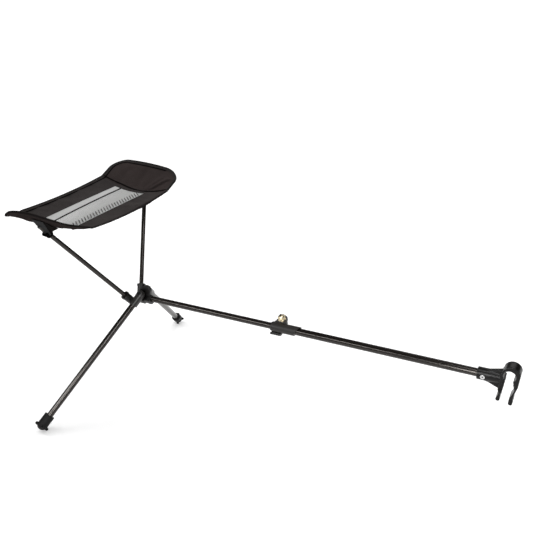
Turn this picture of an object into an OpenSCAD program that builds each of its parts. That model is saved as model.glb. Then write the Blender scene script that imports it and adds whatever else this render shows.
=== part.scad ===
// Clip-on folding footrest for a camp chair: two folding legs, two poles that
// carry a fabric sling, and a telescopic arm that ends in a bar clip.
// +X runs along the arm to the clip, +Y across, +Z up; the feet stand on z = 0.

/* [Frame] */
// Height of the arm's axis above the floor
hub_height = 228; // [215:1:250]
// Distance between the centres of the two foot flanges
foot_spread = 539; // [500:1:570]
// How far the foot flanges stand behind the hub
foot_back = 93; // [85:1:104]
// Diameter of the leg tubes
leg_d = 14; // [12:0.5:15]
// Wall of the leg and arm tubes
tube_wall = 1; // [0.8:0.1:1.5]
// Diameter of the poles that carry the sling
pole_d = 10; // [8:0.5:11]
// Wall of the poles
pole_wall = 0.8; // [0.6:0.1:1.2]
// Distance between the two pole ends
pole_spread = 359; // [350:1:366]
// How far the pole ends lean back behind the hub
pole_back = 86; // [82:1:90]
// Height of the pole ends above the arm's axis
pole_rise = 224.7; // [220:0.1:228]

/* [Hub] */
// Radius of the arm's socket
arm_socket_r = 12; // [11:0.25:13]
// Where the arm's socket ends, from the hub's centre
arm_socket_end = 38; // [36:1:44]
// Radius of the pole sockets
pole_socket_r = 8.9; // [8:0.1:9.2]
// Radius of the lip at a pole socket's mouth
pole_lip_r = 10.2; // [9.4:0.1:11]
// Radius of the leg knuckles at the pivot
knuckle_r = 9.5; // [9:0.1:9.8]
// Length of a leg knuckle below its pivot
knuckle_len = 30; // [26:1:36]
// Radius of the pivot screws
pivot_r = 2.5; // [2:0.1:3]
// Thickness of the hub's top web between the knuckles
web_t = 6; // [4:0.5:7]
// Radius of the round top of the web
web_r = 11.5; // [9:0.5:12]

/* [Feet] */
// Radius of a foot's sleeve
foot_sleeve_r = 11.7; // [10:0.1:13]
// Length of a foot's sleeve
foot_sleeve_len = 28; // [24:1:36]
// How far a foot's lugs reach from its axis
foot_lug_reach = 16.5; // [14:0.5:19]
// Radius of a foot's lugs
foot_lug_r = 3.6; // [2.5:0.1:4]
// Height of a foot's domed end
foot_dome = 8.5; // [5:0.5:10]

/* [Arm] */
// Diameter of the sliding outer tube
outer_d = 16; // [16:0.1:17]
// Where the inner tube ends, from the hub's centre
inner_end = 470; // [450:1:520]
// Where the lock collar starts, from the hub's centre
collar_start = 349; // [333:1:363]
// Length of the lock collar
collar_len = 60; // [56:1:66]
// Radius of the lock collar
collar_r = 10.6; // [10.4:0.1:11.4]
// Where the clip's sleeve starts, from the hub's centre
clip_start = 778; // [740:1:820]
// Length of the clip's sleeve up to the gusset
clip_sleeve_len = 21; // [18:1:28]
// Radius of the clip's sleeve
clip_sleeve_r = 12; // [11:0.1:13.5]

/* [Lock] */
// Radius of the round tops of the collar's ears
ear_r = 9.25; // [8.5:0.25:10]
// Height of the lock bolt above the arm's axis
bolt_h = 20; // [19:0.25:22]
// Radius of the lock bolt
bolt_r = 2.5; // [2:0.1:3]
// Thickness of one ear
ear_t = 3.4; // [3:0.1:4.5]
// Width of the slit between the ears
slit = 1.4; // [1:0.1:2]
// Corner radius of the hexagonal lock nut
nut_r = 8.9; // [8:0.1:10]
// Length of the lock nut's hexagon
nut_t = 6; // [5:0.5:8]
// Turn of the lock about the arm, away from upright
clamp_turn = 40; // [30:1:45]
// Width of the lock lever along the arm
lever_w = 28; // [24:1:32]
// Thickness of the lock lever
lever_t = 4.8; // [3.6:0.2:5.4]

/* [Clip] */
// Radius of the chair bar that the clip holds
bar_r = 11.5; // [10.5:0.25:12]
// Outer radius of the clip's hook
hook_r = 16; // [15:0.25:18]
// Width of the clip along the bar
clip_w = 25; // [22:1:30]
// Gap between the jaws at the pinch
clip_pinch = 14.4; // [13:0.2:16]
// Height of the bar's centre above the arm's axis
clip_rise = 12.8; // [11:0.2:15]
// How far the long jaw reaches below the bar's centre
jaw_len = 59.5; // [54:0.5:66]

/* [Sling] */
// Width of the sling along the arm
sling_w = 197; // [188:1:206]
// Distance between the seams of the two end flaps
sling_seam = 265; // [258:1:272]
// Length of a flap from its seam to its rim
flap_len = 83; // [78:1:90]
// Angle at which the flaps rise
flap_angle = 38; // [35:1:41]
// Corner radius of the flaps
flap_corner = 43; // [36:1:50]
// How much lower a flap's corners are than the middle of its rim
flap_drop = 25.5; // [18:0.5:30]
// How far the left flap bulges outward between its seam and its rim
left_bulge = 8.5; // [6:0.5:9]
// How much the left flap's rim leans down towards the back
left_lean = 5; // [0:0.5:8]
// Height of the sling's middle above the arm's axis
sling_rise = 211.5; // [210:0.5:216]
// How far the sling's middle lies behind the hub
sling_back = 85; // [81:1:89]
// How much the back edge is higher than the middle
sling_tilt = 5.8; // [0:0.1:8]
// How much the long edges rise above the middle at the seams
sling_trough = 17.2; // [12:0.2:22]
// How much the long edges rise above the middle half way along
sling_dish = 6.8; // [3:0.2:10]
// How much lower the seams are than the middle of the sling
sling_bow = 2.7; // [0:0.1:5]
// How much the sling twists at its seams
sling_twist = 0.9; // [0:0.1:4]
// Width of the mesh panel
mesh_w = 88; // [78:1:98]
// Width of the fabric band between the mesh and a flap's seam
band_w = 12.5; // [8:0.5:20]
// Width of the strands between the mesh's openings
strand_w = 5.5; // [4:0.5:7]
// Thickness of the fabric
cloth_t = 1.6; // [1.2:0.1:2.4]
// Width of the edge binding
bind_w = 5; // [4:0.5:8]
// Thickness of the edge binding
bind_t = 3.4; // [2.6:0.1:4]

/* [Clearances] */
// Radial clearance of a turning pin
pin_gap = 0.05; // [0.02:0.01:0.1]
// Radial clearance of the sliding tubes
slide_gap = 0.08; // [0.04:0.01:0.1]
// Gap between faces that move past each other
face_gap = 0.4; // [0.3:0.05:0.6]

/* [Hidden] */
$fn = 48;

// Overcut that lets a bore or slot run clear of a face
cut = 1;
leg_r = leg_d / 2;
outer_r = outer_d / 2;
pole_r = pole_d / 2;

// Place of the hub's centre: the part stands on z = 0, centred on its length
clip_x = clip_start + clip_sleeve_len + bar_r + 25;
hook_shift = [2.5, 3.2];
hub_x = (sling_back + sling_w / 2 - clip_x - hook_shift.x - hook_r) / 2;
hub_at = [hub_x, 0, hub_height];

function unit(v) = v / norm(v);

// A leg's axis: it runs from its pivot to the middle of its foot's lugs
pivot_x = 16.5;
pivot_side = 13.4;
pivot_rise = 12.6;
leg_pivot = [pivot_x, -pivot_side, pivot_rise];
// The lowest lug is cut flat where it meets the floor
lug_at = foot_lug_reach - foot_lug_r;
foot_guess = unit([-foot_back - pivot_x, pivot_side - foot_spread / 2, -hub_height]);
lug_flat = 1.2;
// Turn of each foot's lowest lug about the foot, from straight down
left_lug_turn = 30;
right_lug_turn = 0;
foot_lift = lug_at * sqrt(1 - pow(foot_guess.z, 2)) * cos(left_lug_turn) + foot_lug_r - lug_flat;
foot_at = [-foot_back, -foot_spread / 2, foot_lift - hub_height];
leg_dir = unit(foot_at - leg_pivot);
leg_len = norm(foot_at - leg_pivot);
// The pivot's axis is square to the leg and to the arm, and points outwards
pivot_axis = unit([0, leg_dir.z, -leg_dir.y]);
leg_side = cross(pivot_axis, leg_dir);
// Distance from the arm's axis to the plane in which a leg folds
fold_plane = pivot_axis * leg_pivot;
washer_t = 0.8;
washer_r = 4.5;
// Depth of the hub's flat below the leg's axis
flat_depth = knuckle_r + washer_t + 0.1;
screw_depth = 5.5;
screw_head_r = 4.6;
screw_head_t = 2.6;
screw_seat = knuckle_r - 2.2;
knuckle_mouth_r = knuckle_r + 0.4;
tube_start = 9;
leg_rivet_r = 1.8;
leg_rivet_at = knuckle_len - 8;

// A pole's axis: it starts in the hub's socket and ends in the sling's pocket
pole_low = [-6.5, -14, -11.1];
pole_end = [-pole_back, -pole_spread / 2, pole_rise];
pole_dir = unit(pole_end - pole_low);
pole_len = norm(pole_end - pole_low);
pole_socket_len = 32;
pole_lip = 4;
pole_tip_t = 3;
rib_count = 3;
rib_t = 1.2;
rib_out = 0.3;
rib_pitch = 4;

// The hub's core and its top web, in the plane of the arm
core_back = -4;
core_r = 14.5;
core_front = 20;
web_at = [26, 21];
web_foot = [-8, 4];
web_heel = [34, 4];
arm_tube_start = core_front + 1.5;
arm_rivet_r = 2;
arm_rivet_x = arm_socket_end - 7;
socket_ring = 4;

// The lock collar and its parts, along the arm
bolt_x = collar_start + 21;
ear_out = slit / 2 + ear_t;
ear_base = 14;
ear_base_h = 8;
ear_start = collar_start + 4;
tube_seat_x = bolt_x + ear_base + 2;
collar_cone = 2.5;
// The collar's end is cut aslant: further out on top and at the back
slant_down = 26;
slant_side = 17;
slant_reach = 9;
collar_rivet_x = collar_start + collar_len - 12;
washer_out = ear_out + 0.8;
cam_r = 4;
cam_y = washer_out + face_gap + cam_r;
cam_half = 6;
eye_half = 2.8;
lever_pin_r = 1.8;
lever_in_r = collar_r + 2;
lever_out_r = lever_in_r + lever_t;
lever_mid_r = lever_in_r + lever_t / 2;
lever_wrap = 85;
lever_top = 44;
lever_shoulder = 3;
grip_w = lever_w - 5;
lever_x = collar_start;
nut_seat = ear_out + 0.3;
nut_dome_r = 7.4;

// The clip, in the plane of the arm
clip_tube_end = clip_start + 26;
clip_rivet_r = 2.4;
clip_rivet_x = clip_start + 11;
rivet_head_t = 1;
gusset_t = 9;
jaw_core_w = clip_w - 8;
rim_w = 1.4;
groove_w = 3;
groove_depth = 1.2;

// The sling's flat pattern: a runs along the arm, l along the developed length
half_w = sling_w / 2;
half_s = sling_seam / 2;
half_l = half_s + flap_len;
mesh_half_w = mesh_w / 2;
mesh_half_l = half_s - band_w;
mesh_shift = -4.3;
mesh_cols = 6;
mesh_rows = 12;
in_w = half_w - bind_w;
corner_steps = 6;
straight_steps = 3;
flap_cols = 12;
long_steps = 14;

// Height of the cloth over the flat pattern, without its tilt
function cloth_h(a, l) =
  let (v = min(abs(l) / half_s, 1), u = a / half_w, s = max(abs(l) - half_s, 0))
  -sling_bow * v * v + sling_trough * u * u * v * v + sling_dish * u * u * (1 - v * v)
  + s * sin(flap_angle) - flap_drop * u * u * s / flap_len;
function cloth_y(l) =
  sign(l) * (min(abs(l), half_s) + max(abs(l) - half_s, 0) * cos(flap_angle));
// The left flap's share of its length past the seam, and its bulge across the sling
function left_share(l) = max(-l - half_s, 0) / flap_len;
function bulge_at(a) = let (u = a / half_w) 4 * left_bulge * (1 - u) * (1.6 + u) / 1.65;
function cloth_at(a, l, up = 0) =
  let (y = cloth_y(l), u = a / half_w, v = y / half_s, t = left_share(l), b = bulge_at(a) * t * (1 - t))
  [a - sling_back, y - b * sin(flap_angle),
   sling_rise + cloth_h(a, l) - sling_tilt * u - sling_twist * u * v
   + left_lean * u * t - b * cos(flap_angle) + up];
// Half of the cloth's upright thickness at a place on the sling
function steepness(a, l) =
  let (t = left_share(l))
  abs(l) <= half_s ? 0 : flap_angle - (t > 0 ? atan(bulge_at(a) * (1 - 2 * t) / flap_len) : 0);
function upright(t, p) = t / 2 / cos(steepness(p.x, p.y));

// Rows of a flap's flat pattern, from its seam to its rim: length and half width
flap_rows = concat(
  [for (i = [0:straight_steps]) [half_s + (flap_len - flap_corner) * i / straight_steps, in_w]],
  [for (k = [1:corner_steps]) let (q = 90 * k / corner_steps)
    [half_l - flap_corner + (flap_corner - bind_w) * sin(q),
     half_w - flap_corner + (flap_corner - bind_w) * cos(q)]]);
rim_half = half_w - flap_corner;

// Quarter of the binding's path: its inner and outer points in the flat pattern
bind_quarter = concat(
  [for (i = [0:long_steps / 2 - 1]) let (l = half_s * i * 2 / long_steps) [[in_w, l], [half_w, l]]],
  [for (i = [0:straight_steps]) let (l = half_s + (flap_len - flap_corner) * i / straight_steps)
    [[in_w, l], [half_w, l]]],
  [for (k = [1:corner_steps]) let (q = 90 * k / corner_steps, r = flap_corner - bind_w)
    [[rim_half + r * cos(q), half_l - flap_corner + r * sin(q)],
     [rim_half + flap_corner * cos(q), half_l - flap_corner + flap_corner * sin(q)]]],
  [for (i = [1:flap_cols / 2]) let (a = rim_half * (1 - 2 * i / flap_cols))
    [[a, half_l - bind_w], [a, half_l]]]);
quarter_n = len(bind_quarter);
function flip(p, sa, sl) = [for (q = p) [q.x * sa, q.y * sl]];
bind_path = concat(
  [for (i = [0:quarter_n - 1]) bind_quarter[i]],
  [for (i = [quarter_n - 2:-1:0]) flip(bind_quarter[i], -1, 1)],
  [for (i = [1:quarter_n - 1]) flip(bind_quarter[i], -1, -1)],
  [for (i = [quarter_n - 2:-1:1]) flip(bind_quarter[i], 1, -1)]);

// Everything is drawn about the hub's centre
module at_hub() {
  translate(hub_at) children();
}
// Children's z runs along d from point p
module along(p, d) {
  translate(p) rotate([0, acos(d.z), atan2(d.y, d.x)]) children();
}
// Frame of the lock: its ears point up, and it is turned about the arm
module lock_frame() {
  rotate([-clamp_turn, 0, 0]) children();
}
module along_x(x) {
  translate([x, 0, 0]) rotate([0, 90, 0]) children();
}
// Children's z runs along +Y
module along_y(x, y, z) {
  translate([x, y, z]) rotate([-90, 0, 0]) children();
}
module mirrored() {
  mirror([0, 1, 0]) children();
}
// Left leg's own frame: x along its side, y down the leg, z along the pivot's axis
module leg_frame() {
  multmatrix([
    [leg_side.x, leg_dir.x, pivot_axis.x, leg_pivot.x],
    [leg_side.y, leg_dir.y, pivot_axis.y, leg_pivot.y],
    [leg_side.z, leg_dir.z, pivot_axis.z, leg_pivot.z],
    [0, 0, 0, 1]]) children();
}
module tube(r, wall, length) {
  difference() {
    cylinder(r = r, h = length);
    translate([0, 0, -cut]) cylinder(r = r - wall, h = length + 2 * cut);
  }
}
// A headed pin whose shank runs from z = 0 to its length, with a head past each end
module rivet(r, length, head_r, head_t) {
  translate([0, 0, -head_t]) cylinder(r = head_r, h = head_t);
  cylinder(r = r, h = length);
  translate([0, 0, length]) cylinder(r = head_r, h = head_t);
}

module web_profile() {
  translate(web_at) circle(r = web_r);
  slope = web_at - web_foot;
  reach = norm(slope);
  tilt = atan2(slope.y, slope.x) + asin(web_r / reach);
  touch = web_foot + sqrt(reach * reach - web_r * web_r) * [cos(tilt), sin(tilt)];
  polygon([web_foot, touch, web_at, web_at + [web_r, 0], web_heel]);
}
module pole_socket() {
  along(pole_low, pole_dir) {
    sphere(r = pole_socket_r);
    cylinder(r = pole_socket_r, h = pole_socket_len);
    translate([0, 0, pole_socket_len - pole_lip]) cylinder(r = pole_lip_r, h = pole_lip);
    for (i = [1:rib_count])
      translate([0, 0, pole_socket_len - pole_lip - i * rib_pitch])
        cylinder(r = pole_socket_r + rib_out, h = rib_t);
  }
}
module pole_bore() {
  along(pole_low, pole_dir) cylinder(r = pole_r, h = pole_socket_len + cut);
}
module hub_solid() {
  difference() {
    union() {
      along_x(core_back) cylinder(r = core_r, h = core_front - core_back);
      along_x(core_back) cylinder(r = arm_socket_r, h = arm_socket_end - core_back);
      along_x(arm_socket_end - socket_ring) cylinder(r = arm_socket_r + 0.8, h = socket_ring);
    }
    arm_flat();
    mirrored() arm_flat();
  }
  rotate([90, 0, 0]) translate([0, 0, -web_t / 2]) linear_extrude(web_t) web_profile();
  pole_socket();
  mirrored() pole_socket();
}
// Flat on the hub's upper side, on which a knuckle turns
module arm_flat() {
  flat_at = fold_plane - flat_depth;
  lean = atan2(-pivot_axis.y, pivot_axis.z);
  rotate([lean, 0, 0]) translate([core_back - cut, -40, flat_at]) cube([100, 80, 40]);
}
module hub_body() {
  color([0.09, 0.09, 0.1]) at_hub() difference() {
    hub_solid();
    along_x(arm_tube_start) cylinder(r = leg_r, h = arm_socket_end);
    pole_bore();
    mirrored() pole_bore();
    screw_hole();
    mirrored() screw_hole();
    along_y(arm_rivet_x, 0, 0) cylinder(r = arm_rivet_r, h = 50);
  }
}
module screw_hole() {
  leg_frame() translate([0, 0, -flat_depth - screw_depth]) cylinder(r = pivot_r, h = screw_depth + cut);
}

module left_knuckle_shape() {
  color([0.2, 0.2, 0.21]) at_hub() leg_frame() difference() {
    union() {
      sphere(r = knuckle_r);
      rotate([-90, 0, 0]) cylinder(r1 = knuckle_r, r2 = knuckle_mouth_r, h = knuckle_len);
      translate([0, 0, -knuckle_r]) cylinder(r = washer_r, h = knuckle_r);
    }
    translate([0, tube_start, 0]) rotate([-90, 0, 0]) cylinder(r = leg_r, h = knuckle_len);
    translate([0, 0, -30]) cylinder(r = pivot_r + pin_gap, h = 60);
    translate([0, 0, screw_seat]) cylinder(r = screw_head_r + face_gap, h = 20);
    translate([-20, leg_rivet_at, 0]) rotate([0, 90, 0]) cylinder(r = leg_rivet_r, h = 20);
  }
}
module left_knuckle() { left_knuckle_shape(); }
module right_knuckle() { mirrored() left_knuckle_shape(); }

module left_screw_shape() {
  color([0.55, 0.55, 0.57]) at_hub() leg_frame() {
    bottom = -flat_depth - screw_depth;
    translate([0, 0, bottom]) cylinder(r = pivot_r, h = screw_seat + 0.1 - bottom);
    difference() {
      translate([0, 0, screw_seat + 0.1]) cylinder(r = screw_head_r, h = screw_head_t);
      translate([0, 0, screw_seat + 0.1 + screw_head_t - 1.4]) cylinder(r = 2.2, h = 5, $fn = 6);
    }
  }
}
module left_pivot_screw() { left_screw_shape(); }
module right_pivot_screw() { mirrored() left_screw_shape(); }

module left_washer_shape() {
  color([0.85, 0.85, 0.82]) at_hub() leg_frame() difference() {
    translate([0, 0, -flat_depth]) cylinder(r = washer_r, h = washer_t);
    translate([0, 0, -flat_depth - cut]) cylinder(r = pivot_r, h = washer_t + 2 * cut);
  }
}
module left_pivot_washer() { left_washer_shape(); }
module right_pivot_washer() { mirrored() left_washer_shape(); }

module left_leg_tube_shape() {
  color([0.05, 0.045, 0.045]) at_hub() leg_frame() difference() {
    translate([0, tube_start, 0]) rotate([-90, 0, 0]) tube(leg_r, tube_wall, leg_len - tube_start - 2);
    translate([-20, leg_rivet_at, 0]) rotate([0, 90, 0]) cylinder(r = leg_rivet_r, h = 20);
  }
}
module left_leg_tube() { left_leg_tube_shape(); }
module right_leg_tube() { mirrored() left_leg_tube_shape(); }

module left_leg_rivet_shape() {
  color([0.3, 0.3, 0.3]) at_hub() leg_frame()
    translate([-knuckle_r + 0.3, leg_rivet_at, 0]) rotate([0, 90, 0])
      cylinder(r = leg_rivet_r, h = knuckle_r - leg_r + tube_wall + 0.7);
}
module left_leg_rivet() { left_leg_rivet_shape(); }
module right_leg_rivet() { mirrored() left_leg_rivet_shape(); }

// A rubber foot: sleeve and domed end, with lugs that are flat where one meets the floor
module foot_profile() {
  dome_r = (foot_sleeve_r * foot_sleeve_r + foot_dome * foot_dome) / 2 / foot_dome;
  difference() {
    union() {
      translate([0, -foot_sleeve_len]) square([foot_sleeve_r, foot_sleeve_len]);
      intersection() {
        translate([0, foot_dome - dome_r]) circle(r = dome_r);
        translate([0, -cut]) square([foot_sleeve_r, foot_dome + 2 * cut]);
      }
    }
    translate([0, -foot_sleeve_len - cut]) square([leg_r, foot_sleeve_len + cut - 2]);
    translate([-50, -100]) square([50, 200]);
  }
}
// Turn that points one lug at the floor
down_turn = atan2(-pivot_axis.z, -leg_side.z);
module left_foot_shape(turn) {
  color([0.1, 0.1, 0.1]) difference() {
    at_hub() leg_frame() translate([0, leg_len, 0]) {
      rotate([-90, 0, 0]) rotate_extrude() foot_profile();
      for (k = [0:3]) rotate([0, -down_turn - turn - 90 * k, 0]) {
        translate([leg_r + 2, 0, 0]) rotate([0, 90, 0]) cylinder(r = foot_lug_r, h = lug_at - leg_r - 2);
        translate([lug_at, 0, 0]) sphere(r = foot_lug_r);
      }
    }
    translate([-500, -500, -100]) cube([1000, 1000, 100]);
  }
}
module left_foot() { left_foot_shape(left_lug_turn); }
module right_foot() { mirrored() left_foot_shape(right_lug_turn); }

module left_pole_shape() {
  color([0.05, 0.045, 0.045]) at_hub() along(pole_low, pole_dir) tube(pole_r, pole_wall, pole_len);
}
module left_pole() { left_pole_shape(); }
module right_pole() { mirrored() left_pole_shape(); }

module left_pole_tip_shape() {
  color([0.12, 0.12, 0.12]) at_hub() along(pole_end, pole_dir) {
    translate([0, 0, -10]) cylinder(r = pole_r - pole_wall, h = 10);
    cylinder(r = pole_r, h = pole_tip_t);
  }
}
module left_pole_tip() { left_pole_tip_shape(); }
module right_pole_tip() { mirrored() left_pole_tip_shape(); }

module inner_arm_tube() {
  color([0.05, 0.045, 0.045]) at_hub() difference() {
    along_x(arm_tube_start) tube(leg_r, tube_wall, inner_end - arm_tube_start);
    along_y(arm_rivet_x, 0, 0) cylinder(r = arm_rivet_r, h = 50);
  }
}
module arm_rivet() {
  color([0.3, 0.3, 0.3]) at_hub() along_y(arm_rivet_x, leg_r - tube_wall - 1, 0)
    cylinder(r = arm_rivet_r, h = arm_socket_r - leg_r + tube_wall - 0.7);
}
module inner_tube_plug() {
  color([0.8, 0.8, 0.78]) at_hub() {
    along_x(inner_end - 12) cylinder(r = leg_r - tube_wall, h = 12);
    along_x(inner_end) cylinder(r = leg_r, h = 3);
  }
}
module outer_arm_tube() {
  color([0.05, 0.045, 0.045]) at_hub() difference() {
    along_x(tube_seat_x) tube(outer_r, outer_r - leg_r - slide_gap, clip_tube_end - tube_seat_x);
    along_y(clip_rivet_x, -50, 0) cylinder(r = clip_rivet_r, h = 100);
    translate([collar_rivet_x, 0, -50]) cylinder(r = arm_rivet_r, h = 50 - leg_r + cut);
  }
}

// Outline of the two ears, seen along the bolt
module ear_profile() {
  translate([bolt_x, bolt_h]) circle(r = ear_r);
  polygon([[ear_start, 0], [ear_start, ear_base_h], [bolt_x - ear_r, bolt_h - 1],
    [bolt_x - ear_r / 2, bolt_h], [bolt_x + ear_r / 2, bolt_h], [bolt_x + ear_r, bolt_h - 1],
    [bolt_x + ear_base, ear_base_h], [bolt_x + ear_base, 0]]);
}
module lock_collar() {
  color([0.16, 0.16, 0.165]) at_hub() lock_frame() difference() {
    union() {
      along_x(collar_start) cylinder(r1 = collar_r - 1.2, r2 = collar_r, h = collar_cone);
      along_x(collar_start + collar_cone) cylinder(r = collar_r, h = collar_len + slant_reach - collar_cone);
      rotate([90, 0, 0]) translate([0, 0, -ear_out]) linear_extrude(2 * ear_out) ear_profile();
    }
    along_x(collar_start - cut) cylinder(r = leg_r + slide_gap, h = collar_len);
    along_x(tube_seat_x) cylinder(r = outer_r, h = collar_len);
    rotate([clamp_turn, 0, 0]) translate([collar_start + collar_len, 0, 0])
      rotate([0, slant_down, -slant_side]) translate([0, -40, -40]) cube([80, 80, 80]);
    translate([collar_start - cut, -slit / 2, 0]) cube([tube_seat_x - collar_start, slit, 60]);
    along_y(bolt_x, -50, bolt_h) cylinder(r = bolt_r, h = 100);
    rotate([clamp_turn, 0, 0]) translate([collar_rivet_x, 0, -50]) cylinder(r = arm_rivet_r, h = 50);
    along_y(bolt_x, -ear_out - 20, bolt_h) cylinder(r = nut_r + 0.6, h = 20);
  }
}
module collar_rivet() {
  color([0.3, 0.3, 0.3]) at_hub() translate([collar_rivet_x, 0, -collar_r + 0.4])
    cylinder(r = arm_rivet_r, h = collar_r - leg_r - slide_gap - 0.6);
}
module lock_bolt() {
  color([0.7, 0.7, 0.72]) at_hub() lock_frame() difference() {
    union() {
      along_y(bolt_x, -nut_seat - nut_t, bolt_h) cylinder(r = bolt_r, h = cam_y + nut_seat + nut_t);
      translate([bolt_x, cam_y, bolt_h]) along_x(-eye_half) cylinder(r = cam_r - 0.6, h = 2 * eye_half);
    }
    translate([bolt_x, cam_y, bolt_h]) along_x(-20) cylinder(r = lever_pin_r + pin_gap, h = 40);
  }
}
module lock_nut() {
  color([0.93, 0.88, 0.74]) at_hub() lock_frame() along_y(bolt_x, -nut_seat, bolt_h)
    rotate([180, 0, 0]) difference() {
    union() {
      cylinder(r = nut_r, h = nut_t, $fn = 6);
      translate([0, 0, nut_t]) intersection() {
        sphere(r = nut_dome_r);
        cylinder(r = nut_dome_r, h = nut_dome_r);
      }
    }
    translate([0, 0, -cut]) cylinder(r = bolt_r + pin_gap, h = nut_t + cut + 0.4);
  }
}
module cam_washer() {
  color([0.75, 0.75, 0.77]) at_hub() lock_frame() along_y(bolt_x, ear_out, bolt_h) difference() {
    cylinder(r = 8, h = washer_out - ear_out);
    translate([0, 0, -cut]) cylinder(r = bolt_r, h = 10);
  }
}
function spoke(r, q) = r * [cos(q), sin(q)];
// Outline of the lever seen along the arm: a cam, a neck and a grip curved round the collar
module lever_profile() {
  translate([cam_y, bolt_h]) circle(r = cam_r);
  polygon([[cam_y - cam_r / 2, bolt_h], [cam_y + 0.65 * cam_r, bolt_h], spoke(lever_out_r - 0.5, lever_top - 6),
    spoke(lever_mid_r, lever_top - 12), spoke(lever_in_r + 0.4, lever_top - 3)]);
  difference() {
    circle(r = lever_out_r);
    circle(r = lever_in_r);
    rotate(lever_top) translate([-100, 0]) square([200, 100]);
    rotate(-lever_wrap) translate([-100, -100]) square([200, 100]);
  }
}
module lock_lever() {
  color([0.1, 0.1, 0.1]) at_hub() lock_frame() difference() {
    translate([lever_x, 0, 0]) rotate([90, 0, 90]) linear_extrude(lever_w) lever_profile();
    translate([lever_x - cut, 0, lever_shoulder]) cube([bolt_x - cam_half - lever_x + cut, 50, 50]);
    translate([bolt_x + cam_half, 0, lever_shoulder]) cube([lever_w, 50, 50]);
    translate([lever_x + grip_w, 0, -40]) cube([lever_w, 50, 40 - lever_shoulder]);
    translate([bolt_x - eye_half - face_gap, 0, bolt_h - cam_r - 2])
      cube([2 * (eye_half + face_gap), 50, 50]);
    translate([bolt_x, cam_y, bolt_h]) along_x(-50) cylinder(r = lever_pin_r, h = 100);
  }
}
module lever_pin() {
  color([0.6, 0.6, 0.62]) at_hub() lock_frame() translate([bolt_x, cam_y, bolt_h])
    along_x(-cam_half + 0.5) cylinder(r = lever_pin_r, h = 2 * cam_half - 1);
}

// The clip seen along the bar, about the bar's centre: a hook over the bar and two wavy jaws
pinch_half = clip_pinch / 2;
jaw_z = -jaw_len;
module long_jaw() {
  polygon([[bar_r - 1, 4], [bar_r - 1.6, -7], [pinch_half + 0.6, -15], [9.4, -20.5], [11.4, -25.4],
    [9.7, -31.5], [6.8, -38.7], [3.9, jaw_z + 13.6], [3.2, jaw_z + 3.8], [10.8, jaw_z + 3.8], [10.8, jaw_z + 12],
    [11.9, -35], [14.4, -26.5], [16.6, -18.5], [17.2, -5], [hook_r + 2, 4]]);
  translate([7, jaw_z + 3.8]) circle(r = 3.8);
}
module short_jaw() {
  polygon([[-bar_r + 1, 4], [-bar_r + 0.2, -10], [-12.6, -20], [-14.9, -26], [-14.7, -33], [-11.8, -40.5],
    [-11.9, jaw_z + 7.6], [-19.5, jaw_z + 7.6], [-18.4, jaw_z + 10], [-15.5, -39], [-17.8, -31],
    [-16.4, -24], [-15.4, -8], [-14.6, 4]]);
  translate([-15.7, jaw_z + 7.6]) circle(r = 3.8);
}
// Middle of the short jaw, where it is thicker
module short_jaw_core() {
  polygon([[-bar_r + 1, 5], [-bar_r + 3, -8], [-pinch_half, -15], [-8.5, -22], [-9.5, -33],
    [-12.1, -44], [-16, -40], [-18.1, -31], [-18.3, -21], [-18.3, -7], [-12.8, 6]]);
}
module clip_profile() {
  difference() {
    translate(hook_shift) circle(r = hook_r);
    translate([-pinch_half, -40]) square([clip_pinch, 36]);
  }
  long_jaw();
  short_jaw();
}
module gusset_profile() {
  low = clip_rise - 34;
  polygon([[clip_start + clip_sleeve_len - 10, clip_sleeve_r - 2],
    [clip_start + clip_sleeve_len, clip_sleeve_r - 0.4],
    [clip_x - 11.8, clip_rise + 5.5], [clip_x - 12.2, low + 6], [clip_x - 17.5, low],
    [clip_start + clip_sleeve_len, -clip_sleeve_r - 0.8],
    [clip_start + clip_sleeve_len - 10, -clip_sleeve_r + 1]]);
}
// Groove behind the hook's rim, over its upper half
module rim_groove() {
  hook_x = clip_x + hook_shift.x;
  hook_z = clip_rise + hook_shift.y;
  difference() {
    along_y(hook_x, -clip_w / 2 + rim_w, hook_z) cylinder(r = hook_r + 3, h = groove_w);
    along_y(hook_x, -clip_w, hook_z) cylinder(r = hook_r - groove_depth, h = 2 * clip_w);
    translate([hook_x - 50, -clip_w, hook_z - 105]) cube([100, 2 * clip_w, 100]);
  }
}
module chair_clip() {
  color([0.13, 0.13, 0.135]) at_hub() difference() {
    union() {
      translate([clip_x, 0, clip_rise]) rotate([90, 0, 0]) translate([0, 0, -clip_w / 2])
        linear_extrude(clip_w) clip_profile();
      rotate([90, 0, 0]) translate([0, 0, -gusset_t / 2]) linear_extrude(gusset_t) gusset_profile();
      translate([clip_x, 0, clip_rise]) rotate([90, 0, 0]) translate([0, 0, -jaw_core_w / 2])
        linear_extrude(jaw_core_w) short_jaw_core();
      along_x(clip_start) cylinder(r = clip_sleeve_r, h = clip_sleeve_len);
      along_x(clip_start + clip_sleeve_len)
        cylinder(r1 = clip_sleeve_r, r2 = clip_sleeve_r - 1.5, h = 22);
    }
    along_x(clip_start - cut) cylinder(r = outer_r, h = clip_tube_end - clip_start + cut);
    along_y(clip_x, -50, clip_rise) cylinder(r = bar_r, h = 100);
    along_y(clip_rivet_x, -50, 0) cylinder(r = clip_rivet_r, h = 100);
    rim_groove();
    mirrored() rim_groove();
  }
}
module clip_rivet() {
  color([0.8, 0.8, 0.8]) at_hub() along_y(clip_rivet_x, -clip_sleeve_r, 0) difference() {
    rivet(clip_rivet_r, 2 * clip_sleeve_r, 4.4, rivet_head_t);
    translate([0, 0, -5]) cylinder(r = 1.3, h = 7);
  }
}

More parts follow.
